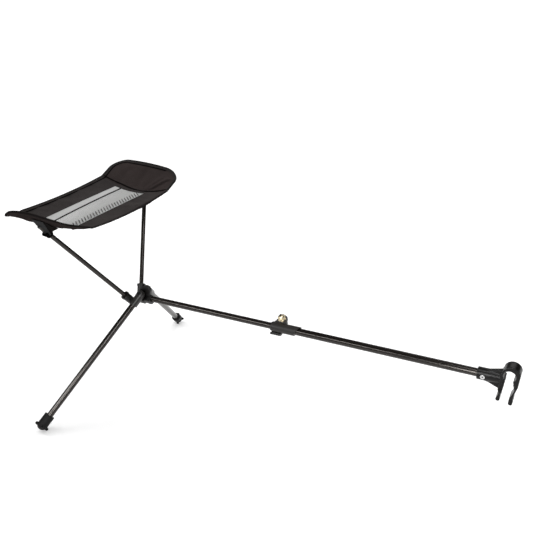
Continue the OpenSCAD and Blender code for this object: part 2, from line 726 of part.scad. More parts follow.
// A closed sheet of cloth over a grid of flat-pattern points; a net is open in every second cell
module sheet(grid, t, net = false) {
  rows = len(grid);
  cols = len(grid[0]);
  n = rows * cols;
  top = [for (r = grid, p = r) cloth_at(p.x, p.y, upright(t, p))];
  low = [for (r = grid, p = r) cloth_at(p.x, p.y, -upright(t, p))];
  cells = [for (i = [0:rows - 2], j = [0:cols - 2]) if (!net || i % 2 == 0 || j % 2 == 0) i * cols + j];
  holes = [for (i = [0:rows - 2], j = [0:cols - 2]) if (net && i % 2 == 1 && j % 2 == 1) i * cols + j];
  up = [for (k = cells) each [[k, k + 1, k + cols], [k + 1, k + cols + 1, k + cols]]];
  down = [for (f = up) [f[2] + n, f[1] + n, f[0] + n]];
  edge = concat([for (j = [0:cols - 1]) j], [for (i = [1:rows - 1]) i * cols + cols - 1],
    [for (j = [cols - 2:-1:0]) (rows - 1) * cols + j], [for (i = [rows - 2:-1:1]) i * cols]);
  rings = concat([edge], [for (k = holes) [k, k + cols, k + cols + 1, k + 1]]);
  side = [for (ring = rings) let (m = len(ring)) for (k = [0:m - 1]) let (p = ring[k], q = ring[(k + 1) % m])
    each [[p, p + n, q], [q, p + n, q + n]]];
  polyhedron(concat(top, low), concat(up, down, side));
}
// Lines between low and high that bound each opening of a net and the strands beside it
function net_lines(low, high, count) =
  let (pitch = (high - low - strand_w) / count)
  concat([low], [for (i = [0:count - 1]) each [low + strand_w + pitch * i, low + pitch * (i + 1)]], [high]);
// Grid of a rectangle in the flat pattern
function patch(a0, a1, l0, l1, na, nl) =
  [for (i = [0:nl]) [for (j = [0:na]) [a0 + (a1 - a0) * j / na, l0 + (l1 - l0) * i / nl]]];
mesh_a0 = mesh_shift - mesh_half_w;
mesh_a1 = mesh_shift + mesh_half_w;

module mesh_panel() {
  color([0.72, 0.72, 0.72]) at_hub()
    sheet([for (l = net_lines(-mesh_half_l, mesh_half_l, mesh_rows))
      [for (a = net_lines(mesh_a0, mesh_a1, mesh_cols)) [a, l]]], cloth_t, net = true);
}
module front_border() {
  color([0.13, 0.12, 0.12]) at_hub() sheet(patch(mesh_a1, in_w, -half_s, half_s, 4, long_steps), cloth_t);
}
module rear_border() {
  color([0.13, 0.12, 0.12]) at_hub() sheet(patch(-in_w, mesh_a0, -half_s, half_s, 4, long_steps), cloth_t);
}
module right_band() {
  color([0.13, 0.12, 0.12]) at_hub() sheet(patch(mesh_a0, mesh_a1, mesh_half_l, half_s, 6, 2), cloth_t);
}
module left_band() {
  color([0.13, 0.12, 0.12]) at_hub() sheet(patch(mesh_a0, mesh_a1, -half_s, -mesh_half_l, 6, 2), cloth_t);
}
function flap_grid(side) =
  [for (r = flap_rows) [for (j = [0:flap_cols]) [side * r[1] * (2 * j / flap_cols - 1), side * r[0]]]];
module right_flap() {
  color([0.11, 0.1, 0.1]) at_hub() sheet(flap_grid(1), cloth_t);
}
module left_flap() {
  color([0.11, 0.1, 0.1]) at_hub() sheet(flap_grid(-1), cloth_t);
}

// A pocket sewn under a flap, into which a pole's end goes
pocket_out = 8;
pocket_half = 28;
pocket_mouth = 22;
pocket_drop = cloth_t + 2.5;
module pocket(side) {
  low = pole_end - pole_dir * pocket_mouth;
  sag = side < 0 ? left_bulge / 2 : 0;
  color([0.15, 0.14, 0.14]) at_hub() difference() {
    hull() {
      mirror([0, side > 0 ? 1 : 0, 0]) along(low, pole_dir) cylinder(r = pocket_out, h = 6, $fn = 24);
      mirror([0, side > 0 ? 1 : 0, 0]) along(pole_end, pole_dir)
        cylinder(r = pole_r + 1.2, h = pole_tip_t + 1, $fn = 24);
      for (a = [-pocket_half, pocket_half], s = [26, 74])
        translate(cloth_at(a + sling_back - pole_back, side * (half_s + s), -pocket_drop - 2 - sag))
          cube(1, center = true);
    }
    mirror([0, side > 0 ? 1 : 0, 0]) along(low - pole_dir * pocket_mouth, pole_dir)
      cylinder(r = pole_r, h = 2 * pocket_mouth + pole_tip_t);
  }
}
module left_pocket() { pocket(-1); }
module right_pocket() { pocket(1); }

module edge_binding() {
  n = len(bind_path);
  points = [for (p = bind_path) each [
    cloth_at(p[0].x, p[0].y, upright(bind_t, p[0])),
    cloth_at(p[1].x, p[1].y, upright(bind_t, p[1])),
    cloth_at(p[1].x, p[1].y, -upright(bind_t, p[1])),
    cloth_at(p[0].x, p[0].y, -upright(bind_t, p[0]))]];
  faces = [for (i = [0:n - 1], k = [0:3]) let (p = 4 * i, q = 4 * ((i + 1) % n), m = (k + 1) % 4)
    each [[p + k, p + m, q + k], [p + m, q + m, q + k]]];
  color([0.07, 0.06, 0.06]) at_hub() polyhedron(points, faces);
}

hub_body();
left_knuckle();
right_knuckle();
left_pivot_screw();
right_pivot_screw();
left_pivot_washer();
right_pivot_washer();
left_leg_tube();
right_leg_tube();
left_leg_rivet();
right_leg_rivet();
left_foot();
right_foot();
left_pole();
right_pole();
left_pole_tip();
right_pole_tip();
inner_arm_tube();
arm_rivet();
inner_tube_plug();
outer_arm_tube();
lock_collar();
collar_rivet();
lock_bolt();
lock_nut();
cam_washer();
lock_lever();
lever_pin();
chair_clip();
clip_rivet();
mesh_panel();
front_border();
rear_border();
left_band();
right_band();
left_flap();
right_flap();
left_pocket();
right_pocket();
edge_binding();
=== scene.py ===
import math

import bpy
from mathutils import Matrix, Vector, noise


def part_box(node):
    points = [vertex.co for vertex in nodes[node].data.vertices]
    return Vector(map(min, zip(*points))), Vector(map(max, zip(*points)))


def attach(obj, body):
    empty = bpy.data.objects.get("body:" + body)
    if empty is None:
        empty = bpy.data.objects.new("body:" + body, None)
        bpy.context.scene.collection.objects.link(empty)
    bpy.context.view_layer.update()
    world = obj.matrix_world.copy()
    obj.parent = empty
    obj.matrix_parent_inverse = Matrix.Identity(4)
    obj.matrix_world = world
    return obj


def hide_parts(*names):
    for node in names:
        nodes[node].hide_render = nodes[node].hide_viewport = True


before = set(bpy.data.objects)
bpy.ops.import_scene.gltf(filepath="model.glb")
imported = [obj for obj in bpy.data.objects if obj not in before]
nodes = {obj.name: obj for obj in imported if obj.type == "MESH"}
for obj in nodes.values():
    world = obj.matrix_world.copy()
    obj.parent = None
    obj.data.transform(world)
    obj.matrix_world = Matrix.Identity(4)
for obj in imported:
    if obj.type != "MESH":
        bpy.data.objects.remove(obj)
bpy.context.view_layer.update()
scene = bpy.context.scene
scene.view_settings.view_transform = "Standard"


def middle(node):
    low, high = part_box(node)
    return (low + high) / 2


armTube = dict(startFromHub=0.0215)  # how far the inner tube starts past the hub's centre
tubeLow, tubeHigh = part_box("inner_arm_tube")
hubAt = Vector((tubeLow.x - armTube["startFromHub"], 0, (tubeLow.z + tubeHigh.z) / 2))

# Camera, in the photograph's place
viewpoint = dict(fromHub=(0.93555, -1.12179, 0.71378), turn=(65.574, 1.720, 27.136), lens=45.93)
bpy.ops.object.camera_add(location=hubAt + Vector(viewpoint["fromHub"]))
camera = bpy.context.object
camera.rotation_euler = [math.radians(angle) for angle in viewpoint["turn"]]
camera.data.sensor_width = 36
camera.data.lens = viewpoint["lens"]
scene.camera = camera
print("camera placed")


# Small helpers for shader nodes

def addNode(tree, kind, **settings):
    made = tree.nodes.new("ShaderNode" + kind)
    for key, value in settings.items():
        setattr(made, key, value)
    return made


def feed(tree, socket, value):
    if isinstance(value, bpy.types.NodeSocket):
        tree.links.new(value, socket)
    else:
        socket.default_value = value


def calc(tree, operation, *values):
    made = addNode(tree, "Math", operation=operation)
    for socket, value in zip(made.inputs, values):
        feed(tree, socket, value)
    return made.outputs[0]


def vectorCalc(tree, operation, first, second=None, scale=None):
    made = addNode(tree, "VectorMath", operation=operation)
    feed(tree, made.inputs[0], first)
    if second is not None:
        feed(tree, made.inputs[1], second)
    if scale is not None:
        feed(tree, made.inputs["Scale"], scale)
    return made.outputs["Value" if operation == "DOT_PRODUCT" else "Vector"]


def mixColour(tree, share, first, second):
    made = addNode(tree, "Mix", data_type="RGBA")
    feed(tree, made.inputs[0], share)
    feed(tree, made.inputs[6], first)
    feed(tree, made.inputs[7], second)
    return made.outputs[2]


def noiseAt(tree, place, scale, detail=3.0, rough=0.5):
    made = addNode(tree, "TexNoise")
    tree.links.new(place, made.inputs["Vector"])
    made.inputs["Scale"].default_value = scale
    made.inputs["Detail"].default_value = detail
    made.inputs["Roughness"].default_value = rough
    return made.outputs[0]


def solid(colour):
    return (*colour, 1.0)


def newGroup(name, inputs, outputs):
    group = bpy.data.node_groups.new(name, "ShaderNodeTree")
    for label, kind in inputs:
        group.interface.new_socket(label, in_out="INPUT", socket_type="NodeSocket" + kind)
    for label, kind in outputs:
        group.interface.new_socket(label, in_out="OUTPUT", socket_type="NodeSocket" + kind)
    return group, group.nodes.new("NodeGroupInput"), group.nodes.new("NodeGroupOutput")


def placeGroup(tree, group, **values):
    made = tree.nodes.new("ShaderNodeGroup")
    made.node_tree = group
    for label, value in values.items():
        feed(tree, made.inputs[label], value)
    return made


# Shared effects

def makeWeaveGroup():
    group, start, end = newGroup(
        "plainWeave", [("Place", "Vector"), ("Threads", "Float")], [("Height", "Float")])
    scaled = vectorCalc(group, "SCALE", start.outputs["Place"], scale=start.outputs["Threads"])
    axes = addNode(group, "SeparateXYZ")
    group.links.new(scaled, axes.inputs[0])
    humps = []
    counts = []
    for axis in "XY":
        turn = calc(group, "MULTIPLY", axes.outputs[axis], math.pi)
        humps.append(calc(group, "ABSOLUTE", calc(group, "SINE", turn)))
        counts.append(calc(group, "FLOOR", axes.outputs[axis]))
    odd = calc(group, "ABSOLUTE", calc(group, "MODULO", calc(group, "ADD", *counts), 2.0))
    even = calc(group, "SUBTRACT", 1.0, odd)
    warp = calc(group, "MULTIPLY", humps[0], odd)
    weft = calc(group, "MULTIPLY", humps[1], even)
    group.links.new(calc(group, "ADD", warp, weft), end.inputs["Height"])
    return group


def makeGrainGroup():
    group, start, end = newGroup(
        "mouldGrain", [("Fineness", "Float")], [("Height", "Float"), ("Tone", "Float")])
    place = addNode(group, "TexCoord").outputs["Object"]
    fine = addNode(group, "TexNoise")
    group.links.new(place, fine.inputs["Vector"])
    group.links.new(start.outputs["Fineness"], fine.inputs["Scale"])
    fine.inputs["Detail"].default_value = 2.0
    group.links.new(fine.outputs[0], end.inputs["Height"])
    group.links.new(noiseAt(group, place, 60.0), end.inputs["Tone"])
    return group


# Edge mask from the bevelled normal: it pales edges, partly as wear and partly as a painted highlight along
# rims
edgeWearAndHighlight = dict(samples=6, sharpness=6.0)


def makeEdgeGroup():
    group, start, end = newGroup(
        "softEdges", [("Radius", "Float")], [("Normal", "Vector"), ("WearAndHighlight", "Float")])
    rounded = addNode(group, "Bevel", samples=edgeWearAndHighlight["samples"])
    group.links.new(start.outputs["Radius"], rounded.inputs["Radius"])
    flat = addNode(group, "NewGeometry").outputs["Normal"]
    facing = vectorCalc(group, "DOT_PRODUCT", rounded.outputs[0], flat)
    bent = calc(group, "MULTIPLY", calc(group, "SUBTRACT", 1.0, facing), edgeWearAndHighlight["sharpness"])
    group.links.new(calc(group, "MINIMUM", bent, 1.0), end.inputs["WearAndHighlight"])
    group.links.new(rounded.outputs[0], end.inputs["Normal"])
    return group


def makeDrawnGroup():
    group, start, end = newGroup(
        "drawnLines", [("Axis", "Vector"), ("Across", "Float"), ("Along", "Float")], [("Lines", "Float")])
    place = addNode(group, "TexCoord").outputs["Object"]
    distance = vectorCalc(group, "DOT_PRODUCT", place, start.outputs["Axis"])
    along = vectorCalc(group, "SCALE", start.outputs["Axis"], scale=distance)
    across = vectorCalc(group, "SUBTRACT", place, along)
    spread = vectorCalc(
        group, "ADD", vectorCalc(group, "SCALE", across, scale=start.outputs["Across"]),
        vectorCalc(group, "SCALE", along, scale=start.outputs["Along"]))
    group.links.new(noiseAt(group, spread, 1.0, 2.0), end.inputs["Lines"])
    return group


plainWeave = makeWeaveGroup()
mouldGrain = makeGrainGroup()
softEdges = makeEdgeGroup()
drawnLines = makeDrawnGroup()
print("shared shader groups built")


def newMaterial(name):
    material = bpy.data.materials.new(name)
    material.use_nodes = True
    tree = material.node_tree
    return material, tree, tree.nodes["Principled BSDF"]


def addBump(tree, shader, height, depth, normal=None):
    bump = addNode(tree, "Bump")
    bump.inputs["Distance"].default_value = depth
    bump.inputs["Strength"].default_value = 1.0
    tree.links.new(height, bump.inputs["Height"])
    if normal is not None:
        tree.links.new(normal, bump.inputs["Normal"])
    tree.links.new(bump.outputs[0], shader.inputs["Normal"])


def varyRoughness(tree, shader, share, spec):
    smoothest = spec["rough"] - spec["roughSpread"] / 2
    rough = calc(tree, "MULTIPLY_ADD", share, spec["roughSpread"], smoothest)
    feed(tree, shader.inputs["Roughness"], rough)


# Hard finishes: colour, a paler colour along edges that stands partly for wear and partly for a painted
# highlight, roughness, and grain
hardBasics = dict(metal=0.0, specular=0.5, coat=0.0, roughSpread=0.2, leastWearAndHighlight=0.35, shadeSpread=0.5,
                  shadeStart=-0.1, darkest=0.72)
hardFinishes = dict(
    hubPlastic=dict(colour=(0.012, 0.011, 0.0105), wornAndLitEdge=(0.13, 0.125, 0.12), wearAndHighlight=0.7, rough=0.36,
                    roughSpread=0.16, fineness=2600.0, depth=0.00004, edge=0.0008),
    knucklePlastic=dict(colour=(0.040, 0.0375, 0.0355), wornAndLitEdge=(0.08, 0.08, 0.08), wearAndHighlight=0.2, rough=0.3,
                        roughSpread=0.12, coat=0.1, fineness=3000.0, depth=0.00002, edge=0.0006),
    clipPlastic=dict(colour=(0.0105, 0.0095, 0.0088), wornAndLitEdge=(0.14, 0.141, 0.145), wearAndHighlight=0.85, rough=0.33,
                     specular=0.24, fineness=2200.0, depth=0.00005, edge=0.0012),
    collarPlastic=dict(colour=(0.038, 0.0335, 0.031), wornAndLitEdge=(0.075, 0.07, 0.065), wearAndHighlight=0.35, rough=0.48,
                       specular=0.4, fineness=2200.0, depth=0.00005, edge=0.0006),
    leverPlastic=dict(colour=(0.010, 0.0078, 0.0070), wornAndLitEdge=(0.07, 0.045, 0.034), wearAndHighlight=0.45, rough=0.4,
                      roughSpread=0.15, specular=0.25, fineness=2600.0, depth=0.00004, edge=0.0005),
    footRubber=dict(colour=(0.012, 0.012, 0.012), wornAndLitEdge=(0.045, 0.043, 0.041), wearAndHighlight=0.35, rough=0.58,
                    specular=0.2, fineness=1500.0, depth=0.00008, edge=0.0008),
    zincSteel=dict(colour=(0.30, 0.30, 0.31), wornAndLitEdge=(0.55, 0.55, 0.55), wearAndHighlight=0.5, rough=0.32,
                   metal=1.0, fineness=1800.0, depth=0.00002, edge=0.0003),
    warmNickel=dict(colour=(0.86, 0.74, 0.50), wornAndLitEdge=(0.95, 0.92, 0.84), wearAndHighlight=0.6, rough=0.34,
                    roughSpread=0.3, metal=1.0, fineness=900.0, depth=0.00001, edge=0.0005),
    rivetBright=dict(colour=(0.62, 0.62, 0.62), wornAndLitEdge=(0.8, 0.8, 0.8), wearAndHighlight=0.5, rough=0.24,
                     roughSpread=0.15, metal=1.0, fineness=1500.0, depth=0.00002, edge=0.0004),
    blackSteel=dict(colour=(0.016, 0.016, 0.016), wornAndLitEdge=(0.08, 0.08, 0.08), wearAndHighlight=0.3, rough=0.4,
                    roughSpread=0.15, specular=0.4, fineness=1800.0, depth=0.00002, edge=0.0003),
    nylon=dict(colour=(0.03, 0.03, 0.03), wornAndLitEdge=(0.06, 0.06, 0.058), wearAndHighlight=0.3, rough=0.45,
               roughSpread=0.1, fineness=1500.0, depth=0.00002, edge=0.0003))


def hardFinish(name):
    spec = hardBasics | hardFinishes[name]
    material, tree, shader = newMaterial(name)
    edges = placeGroup(tree, softEdges, Radius=spec["edge"])
    grain = placeGroup(tree, mouldGrain, Fineness=spec["fineness"])
    # Paler edges: partly wear, partly a painted highlight where rims would catch the light
    wornAndLitEdge = calc(tree, "MULTIPLY", edges.outputs["WearAndHighlight"], spec["wearAndHighlight"])
    wornAndLitEdge = calc(tree, "MULTIPLY", wornAndLitEdge, calc(tree, "ADD", grain.outputs["Tone"], spec["leastWearAndHighlight"]))
    shade = calc(tree, "MULTIPLY_ADD", grain.outputs["Tone"], spec["shadeSpread"], spec["shadeStart"])
    dark = solid([spec["darkest"] * part for part in spec["colour"]])
    base = mixColour(tree, shade, solid(spec["colour"]), dark)
    feed(tree, shader.inputs["Base Color"], mixColour(tree, wornAndLitEdge, base, solid(spec["wornAndLitEdge"])))
    varyRoughness(tree, shader, grain.outputs["Tone"], spec)
    shader.inputs["Metallic"].default_value = spec["metal"]
    shader.inputs["Specular IOR Level"].default_value = spec["specular"]
    shader.inputs["Coat Weight"].default_value = spec["coat"]
    addBump(tree, shader, grain.outputs["Height"], spec["depth"], edges.outputs["Normal"])
    return material


# Gloss black tubes, with fine lines drawn along each one
tubeLook = dict(colour=(0.011, 0.0092, 0.0085), pale=(0.022, 0.018, 0.016), tint=(1.0, 0.93, 0.88), rough=0.2,
                roughSpread=0.08, specular=0.5, across=900.0, along=7.0, depth=0.00002, edge=0.0003)


def tubeFinish(name, axis):
    material, tree, shader = newMaterial(name)
    edges = placeGroup(tree, softEdges, Radius=tubeLook["edge"])
    drawn = placeGroup(tree, drawnLines, Axis=axis, Across=tubeLook["across"], Along=tubeLook["along"])
    lines = drawn.outputs["Lines"]
    colour = mixColour(tree, lines, solid(tubeLook["colour"]), solid(tubeLook["pale"]))
    feed(tree, shader.inputs["Base Color"], colour)
    varyRoughness(tree, shader, lines, tubeLook)
    shader.inputs["Specular IOR Level"].default_value = tubeLook["specular"]
    shader.inputs["Specular Tint"].default_value = solid(tubeLook["tint"])
    addBump(tree, shader, lines, tubeLook["depth"], edges.outputs["Normal"])
    return material


# Cloth finishes, woven in the cut's own metres
clothBasics = dict(fade=0.3, rough=0.7, roughSpread=0.16, threads=1500.0, depth=0.0001,
                   patch=(22.0, 4.0, 0.6))
clothFinishes = dict(
    bedCloth=dict(colour=(0.033, 0.0288, 0.0280), thread=(0.082, 0.075, 0.073), fade=0.45, rough=0.85,
                  threads=760.0, depth=0.00022),
    flapCloth=dict(colour=(0.034, 0.0266, 0.0258), thread=(0.086, 0.070, 0.067), fade=0.35, rough=0.85,
                   threads=760.0, depth=0.00022),
    edgeTapeCloth=dict(colour=(0.019, 0.0166, 0.0160), thread=(0.046, 0.0405, 0.039), rough=0.8,
                       threads=520.0, depth=0.0003),
    hemCloth=dict(colour=(0.030, 0.0265, 0.0258), thread=(0.072, 0.065, 0.063), fade=0.4, rough=0.85,
                  threads=760.0, depth=0.00022),
    # grey cloth painted as the lit side of the pockets
    pocketLitCloth=dict(colour=(0.055, 0.055, 0.057), thread=(0.12, 0.119, 0.121), fade=0.4, rough=0.75,
                     threads=640.0, depth=0.0003),
    netThread=dict(colour=(0.76, 0.76, 0.75), thread=(0.90, 0.90, 0.89), threads=900.0, depth=0.00015),
    netHemCloth=dict(colour=(0.50, 0.50, 0.495), thread=(0.66, 0.66, 0.655), threads=700.0, depth=0.0002),
    darkThread=dict(colour=(0.0055, 0.005, 0.005), thread=(0.013, 0.012, 0.012)),
    greyThread=dict(colour=(0.055, 0.055, 0.055), thread=(0.10, 0.10, 0.10)),
    gatherThread=dict(colour=(0.10, 0.10, 0.10), thread=(0.17, 0.17, 0.17)))


def clothFinish(name):
    spec = clothBasics | clothFinishes[name]
    material, tree, shader = newMaterial(name)
    coords = addNode(tree, "TexCoord")
    woven = placeGroup(tree, plainWeave, Place=coords.outputs["UV"], Threads=spec["threads"])
    weave = woven.outputs["Height"]
    fade = noiseAt(tree, coords.outputs["Object"], *spec["patch"])
    faded = calc(tree, "MULTIPLY_ADD", fade, spec["fade"] * 2, 0.5 - spec["fade"])
    share = calc(tree, "MULTIPLY", weave, faded)
    colour = mixColour(tree, share, solid(spec["colour"]), solid(spec["thread"]))
    feed(tree, shader.inputs["Base Color"], colour)
    varyRoughness(tree, shader, fade, spec)
    shader.inputs["Specular IOR Level"].default_value = 0.0
    addBump(tree, shader, weave, spec["depth"])
    return material


hard = {name: hardFinish(name) for name in hardFinishes}
cloth = {name: clothFinish(name) for name in clothFinishes}
print("finishes made:", len(hard) + len(cloth))


# CAD pieces keep their shapes and get their finishes

def setFinish(node, material):
    nodes[node].data.materials.clear()
    nodes[node].data.materials.append(material)


bothSides = ("left_", "right_")
plainNodes = dict(
    hub_body="hubPlastic", arm_rivet="zincSteel", inner_tube_plug="nylon", lock_collar="collarPlastic",
    collar_rivet="zincSteel", lock_bolt="zincSteel", lock_nut="warmNickel", cam_washer="zincSteel",
    lock_lever="leverPlastic", lever_pin="zincSteel", chair_clip="clipPlastic", clip_rivet="rivetBright")
pairedNodes = dict(
    knuckle="knucklePlastic", pivot_screw="blackSteel", pivot_washer="nylon", leg_rivet="zincSteel",
    foot="footRubber", pole_tip="hubPlastic")
for node, finish in plainNodes.items():
    setFinish(node, hard[finish])
for side in bothSides:
    for node, finish in pairedNodes.items():
        setFinish(side + node, hard[finish])
    legAxis = (middle(side + "foot") - middle(side + "knuckle")).normalized()
    poleAxis = (middle(side + "pole_tip") - middle(side + "pole")).normalized()
    setFinish(side + "leg_tube", tubeFinish(side + "legBlack", legAxis))
    setFinish(side + "pole", tubeFinish(side + "poleBlack", poleAxis))
armBlack = tubeFinish("armBlack", Vector((1, 0, 0)))
setFinish("inner_arm_tube", armBlack)
setFinish("outer_arm_tube", armBlack)
print("CAD pieces finished")


# Modelling helpers

def deselectAll():
    if bpy.context.object and bpy.context.object.mode != "OBJECT":
        bpy.ops.object.mode_set(mode="OBJECT")
    bpy.ops.object.select_all(action="DESELECT")


def pick(piece):
    deselectAll()
    piece.select_set(True)
    bpy.context.view_layer.objects.active = piece


def gridPiece(name, columns, rows, place, flat):
    deselectAll()
    bpy.ops.mesh.primitive_grid_add(x_subdivisions=columns, y_subdivisions=rows, size=1)
    piece = bpy.context.object
    piece.name = name
    mesh = piece.data
    mesh.name = name
    shares = [(vertex.co.x + 0.5, vertex.co.y + 0.5) for vertex in mesh.vertices]
    uv = mesh.uv_layers.active.data
    for loop in mesh.loops:
        uv[loop.index].uv = flat(*shares[loop.vertex_index])
    for vertex, share in zip(mesh.vertices, shares):
        vertex.co = place(*share)
    mesh.update()
    return piece


def useModifier(piece, kind, **settings):
    pick(piece)
    modifier = piece.modifiers.new(kind, kind)
    for key, value in settings.items():
        setattr(modifier, key, value)
    bpy.ops.object.modifier_apply(modifier=modifier.name)


def closeMesh(piece, capped=False, gap=1e-6):
    pick(piece)
    bpy.ops.object.mode_set(mode="EDIT")
    bpy.ops.mesh.select_all(action="SELECT")
    bpy.ops.mesh.remove_doubles(threshold=gap)
    if capped:
        bpy.ops.mesh.fill_holes(sides=0)
    bpy.ops.mesh.normals_make_consistent(inside=False)
    bpy.ops.object.mode_set(mode="OBJECT")


def finishPiece(piece, material, body="hub", replacing=(), angle=50):
    pick(piece)
    bpy.ops.object.shade_smooth_by_angle(angle=math.radians(angle))
    piece.data.materials.clear()
    piece.data.materials.append(material)
    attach(piece, body)
    if replacing:
        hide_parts(*replacing)
    return piece


def ramp(value, low, high):
    share = min(max((value - low) / (high - low), 0), 1)
    return share * share * (3 - 2 * share)


# Sling: its shape over the flat pattern, where a runs along the arm and l along the cut's length
sling = dict(halfWidth=0.0985, halfSeam=0.1325, flapLength=0.083, flapAngle=math.radians(38), corner=0.043,
             flapDrop=0.0255, rise=0.2115, back=0.085, tilt=0.0058, twist=0.0009, trough=0.0172, dish=0.0068,
             bow=0.0027, backRise=0.0045, backEase=0.6, foldSoftness=0.004, edgeFold=0.0006, thickness=0.0012)
# The left flap hangs its own way: it drops more at its corners, leans, and bulges most behind its middle
leftHang = dict(drop=0.0056, lean=0.0094, arch=0.0124, bulge=0.0085, bulgeBack=1.6, bulgeScale=1.65)
halfLength = sling["halfSeam"] + sling["flapLength"]
netting = dict(halfWidth=0.044, shift=-0.0043, halfLength=0.120)
netBack = netting["shift"] - netting["halfWidth"]
netFront = netting["shift"] + netting["halfWidth"]


def slingPoint(a, l):
    past = abs(l) - sling["halfSeam"]
    along = min(abs(l) / sling["halfSeam"], 1) ** 2
    across = (a / sling["halfWidth"]) ** 2
    softness = sling["foldSoftness"] + (sling["edgeFold"] - sling["foldSoftness"]) * min(across, 1)
    climb = (past + math.hypot(past, softness)) / 2
    y = math.copysign(abs(l) - climb * (1 - math.cos(sling["flapAngle"])), l)
    z = sling["rise"] - sling["bow"] * along + sling["trough"] * across * along
    z += sling["dish"] * across * (1 - along) + climb * math.sin(sling["flapAngle"])
    z -= sling["flapDrop"] * across * climb / sling["flapLength"]
    lean = a / sling["halfWidth"]
    z -= sling["tilt"] * lean + sling["twist"] * lean * y / sling["halfSeam"]
    z += sling["backRise"] * max(-lean, 0) ** 2 * (1 - sling["backEase"] * along)
    if l < 0:
        share = climb / sling["flapLength"]
        sideShare = (1 - lean) * (leftHang["bulgeBack"] + lean) / leftHang["bulgeScale"]
        bulge = 4 * leftHang["bulge"] * sideShare * share * (1 - share)
        sway = leftHang["lean"] - leftHang["arch"] * (1 - across)
        y -= bulge * math.sin(sling["flapAngle"])
        z += (sway * lean - leftHang["drop"] * across) * share - bulge * math.cos(sling["flapAngle"])
    return hubAt + Vector((a - sling["back"], y, z))


def slingNormal(a, l, step=0.001):
    alongA = slingPoint(a + step, l) - slingPoint(a - step, l)
    alongL = slingPoint(a, l + step) - slingPoint(a, l - step)
    return alongA.cross(alongL).normalized()


def onSling(a, l, lift=0.0):
    return slingPoint(a, l) + slingNormal(a, l) * lift


# Bed of the sling: one cut with a window for the netting
bed = dict(sideColumns=16, windowColumns=20, endRows=5, windowRows=84, inset=0.002, rippleHeight=0.0007,
           windowHem=0.006, hemStep=0.0015, windowLift=0.0005, calmEdge=(0.004, 0.014),
           calmWindow=(0.0, 0.012))


def banded(share, stops, counts):
    total = sum(counts)
    cell = share * total
    for low, high, count in zip(stops, stops[1:], counts):
        if cell <= count + 1e-6:
            return low + (high - low) * cell / count
        cell -= count
    return stops[-1]


ripples = (  # waves a metre across and along, where the noise is read, and share of the height
    dict(across=42, along=9, layer=3.7, share=1.0),
    dict(across=120, along=22, layer=8.1, share=0.5))


def clothRipple(a, l, height):
    waves = [wave["share"] * noise.noise(Vector((a * wave["across"], l * wave["along"], wave["layer"])))
             for wave in ripples]
    return height * sum(waves)


bedFolds = (  # from (a, l) to (a, l), height and half width
    dict(start=(-0.090, -0.098), stop=(-0.052, -0.080), height=0.0016, halfWidth=0.0070),
    dict(start=(-0.088, -0.070), stop=(-0.056, -0.058), height=-0.0014, halfWidth=0.0070),
    dict(start=(-0.090, -0.034), stop=(-0.052, -0.020), height=0.0016, halfWidth=0.0080),
    dict(start=(-0.088, 0.000), stop=(-0.056, 0.012), height=-0.0014, halfWidth=0.0070),
    dict(start=(-0.090, 0.036), stop=(-0.052, 0.050), height=0.0015, halfWidth=0.0080),
    dict(start=(-0.088, 0.076), stop=(-0.056, 0.090), height=-0.0013, halfWidth=0.0070),
    dict(start=(0.052, -0.086), stop=(0.088, -0.108), height=-0.0024, halfWidth=0.0060),
    dict(start=(0.052, -0.060), stop=(0.088, -0.076), height=0.0020, halfWidth=0.0060),
    dict(start=(0.050, 0.024), stop=(0.090, 0.040), height=0.0022, halfWidth=0.0070),
    dict(start=(0.050, 0.060), stop=(0.090, 0.062), height=-0.0027, halfWidth=0.0060),
    dict(start=(0.050, 0.096), stop=(0.088, 0.086), height=0.0026, halfWidth=0.0060))


def foldHeight(a, l, folds):
    height = 0.0
    spot = Vector((a, l))
    for fold in folds:
        start, stop = Vector(fold["start"]), Vector(fold["stop"])
        line = stop - start
        share = min(max((spot - start).dot(line) / line.length_squared, 0), 1)
        away = (spot - start - line * share).length / fold["halfWidth"]
        height += fold["height"] * math.exp(-away * away)
    return height


def makeBed():
    halfWidth = sling["halfWidth"] - bed["inset"]
    sides = (-halfWidth, netBack, netFront, halfWidth)
    across = (sides, (bed["sideColumns"], bed["windowColumns"], bed["sideColumns"]))
    ends = (-sling["halfSeam"], -netting["halfLength"], netting["halfLength"], sling["halfSeam"])
    along = (ends, (bed["endRows"], bed["windowRows"], bed["endRows"]))

    def flat(s, t):
        return banded(s, *across), banded(t, *along)

    def place(s, t):
        a, l = flat(s, t)
        toWindow = max(abs(a - netting["shift"]) - netting["halfWidth"], abs(l) - netting["halfLength"])
        turned = bed["windowLift"] * (1 - ramp(toWindow, bed["windowHem"] - bed["hemStep"], bed["windowHem"]))
        calm = ramp(sling["halfWidth"] - abs(a), *bed["calmEdge"]) * ramp(toWindow, *bed["calmWindow"])
        waves = clothRipple(a, l, bed["rippleHeight"]) + foldHeight(a, l, bedFolds)
        return onSling(a, l, turned + waves * calm)

    piece = gridPiece("bedCloth", sum(across[1]), sum(along[1]), place, flat)
    pick(piece)
    bpy.ops.object.mode_set(mode="EDIT")
    bpy.ops.mesh.select_mode(type="FACE")
    bpy.ops.mesh.select_all(action="DESELECT")
    bpy.ops.object.mode_set(mode="OBJECT")
    uv = piece.data.uv_layers.active.data
    for face in piece.data.polygons:
        spots = [uv[index].uv for index in face.loop_indices]
        a = sum(spot.x for spot in spots) / len(spots)
        l = sum(spot.y for spot in spots) / len(spots)
        face.select = abs(a - netting["shift"]) < netting["halfWidth"] and abs(l) < netting["halfLength"]
    bpy.ops.object.mode_set(mode="EDIT")
    bpy.ops.mesh.delete(type="FACE")
    bpy.ops.object.mode_set(mode="OBJECT")
    useModifier(piece, "SOLIDIFY", thickness=sling["thickness"], offset=0)
    replacing = ("front_border", "rear_border", "left_band", "right_band")
    return finishPiece(piece, cloth["bedCloth"], replacing=replacing)


bedCloth = makeBed()
print("bed cloth sewn")


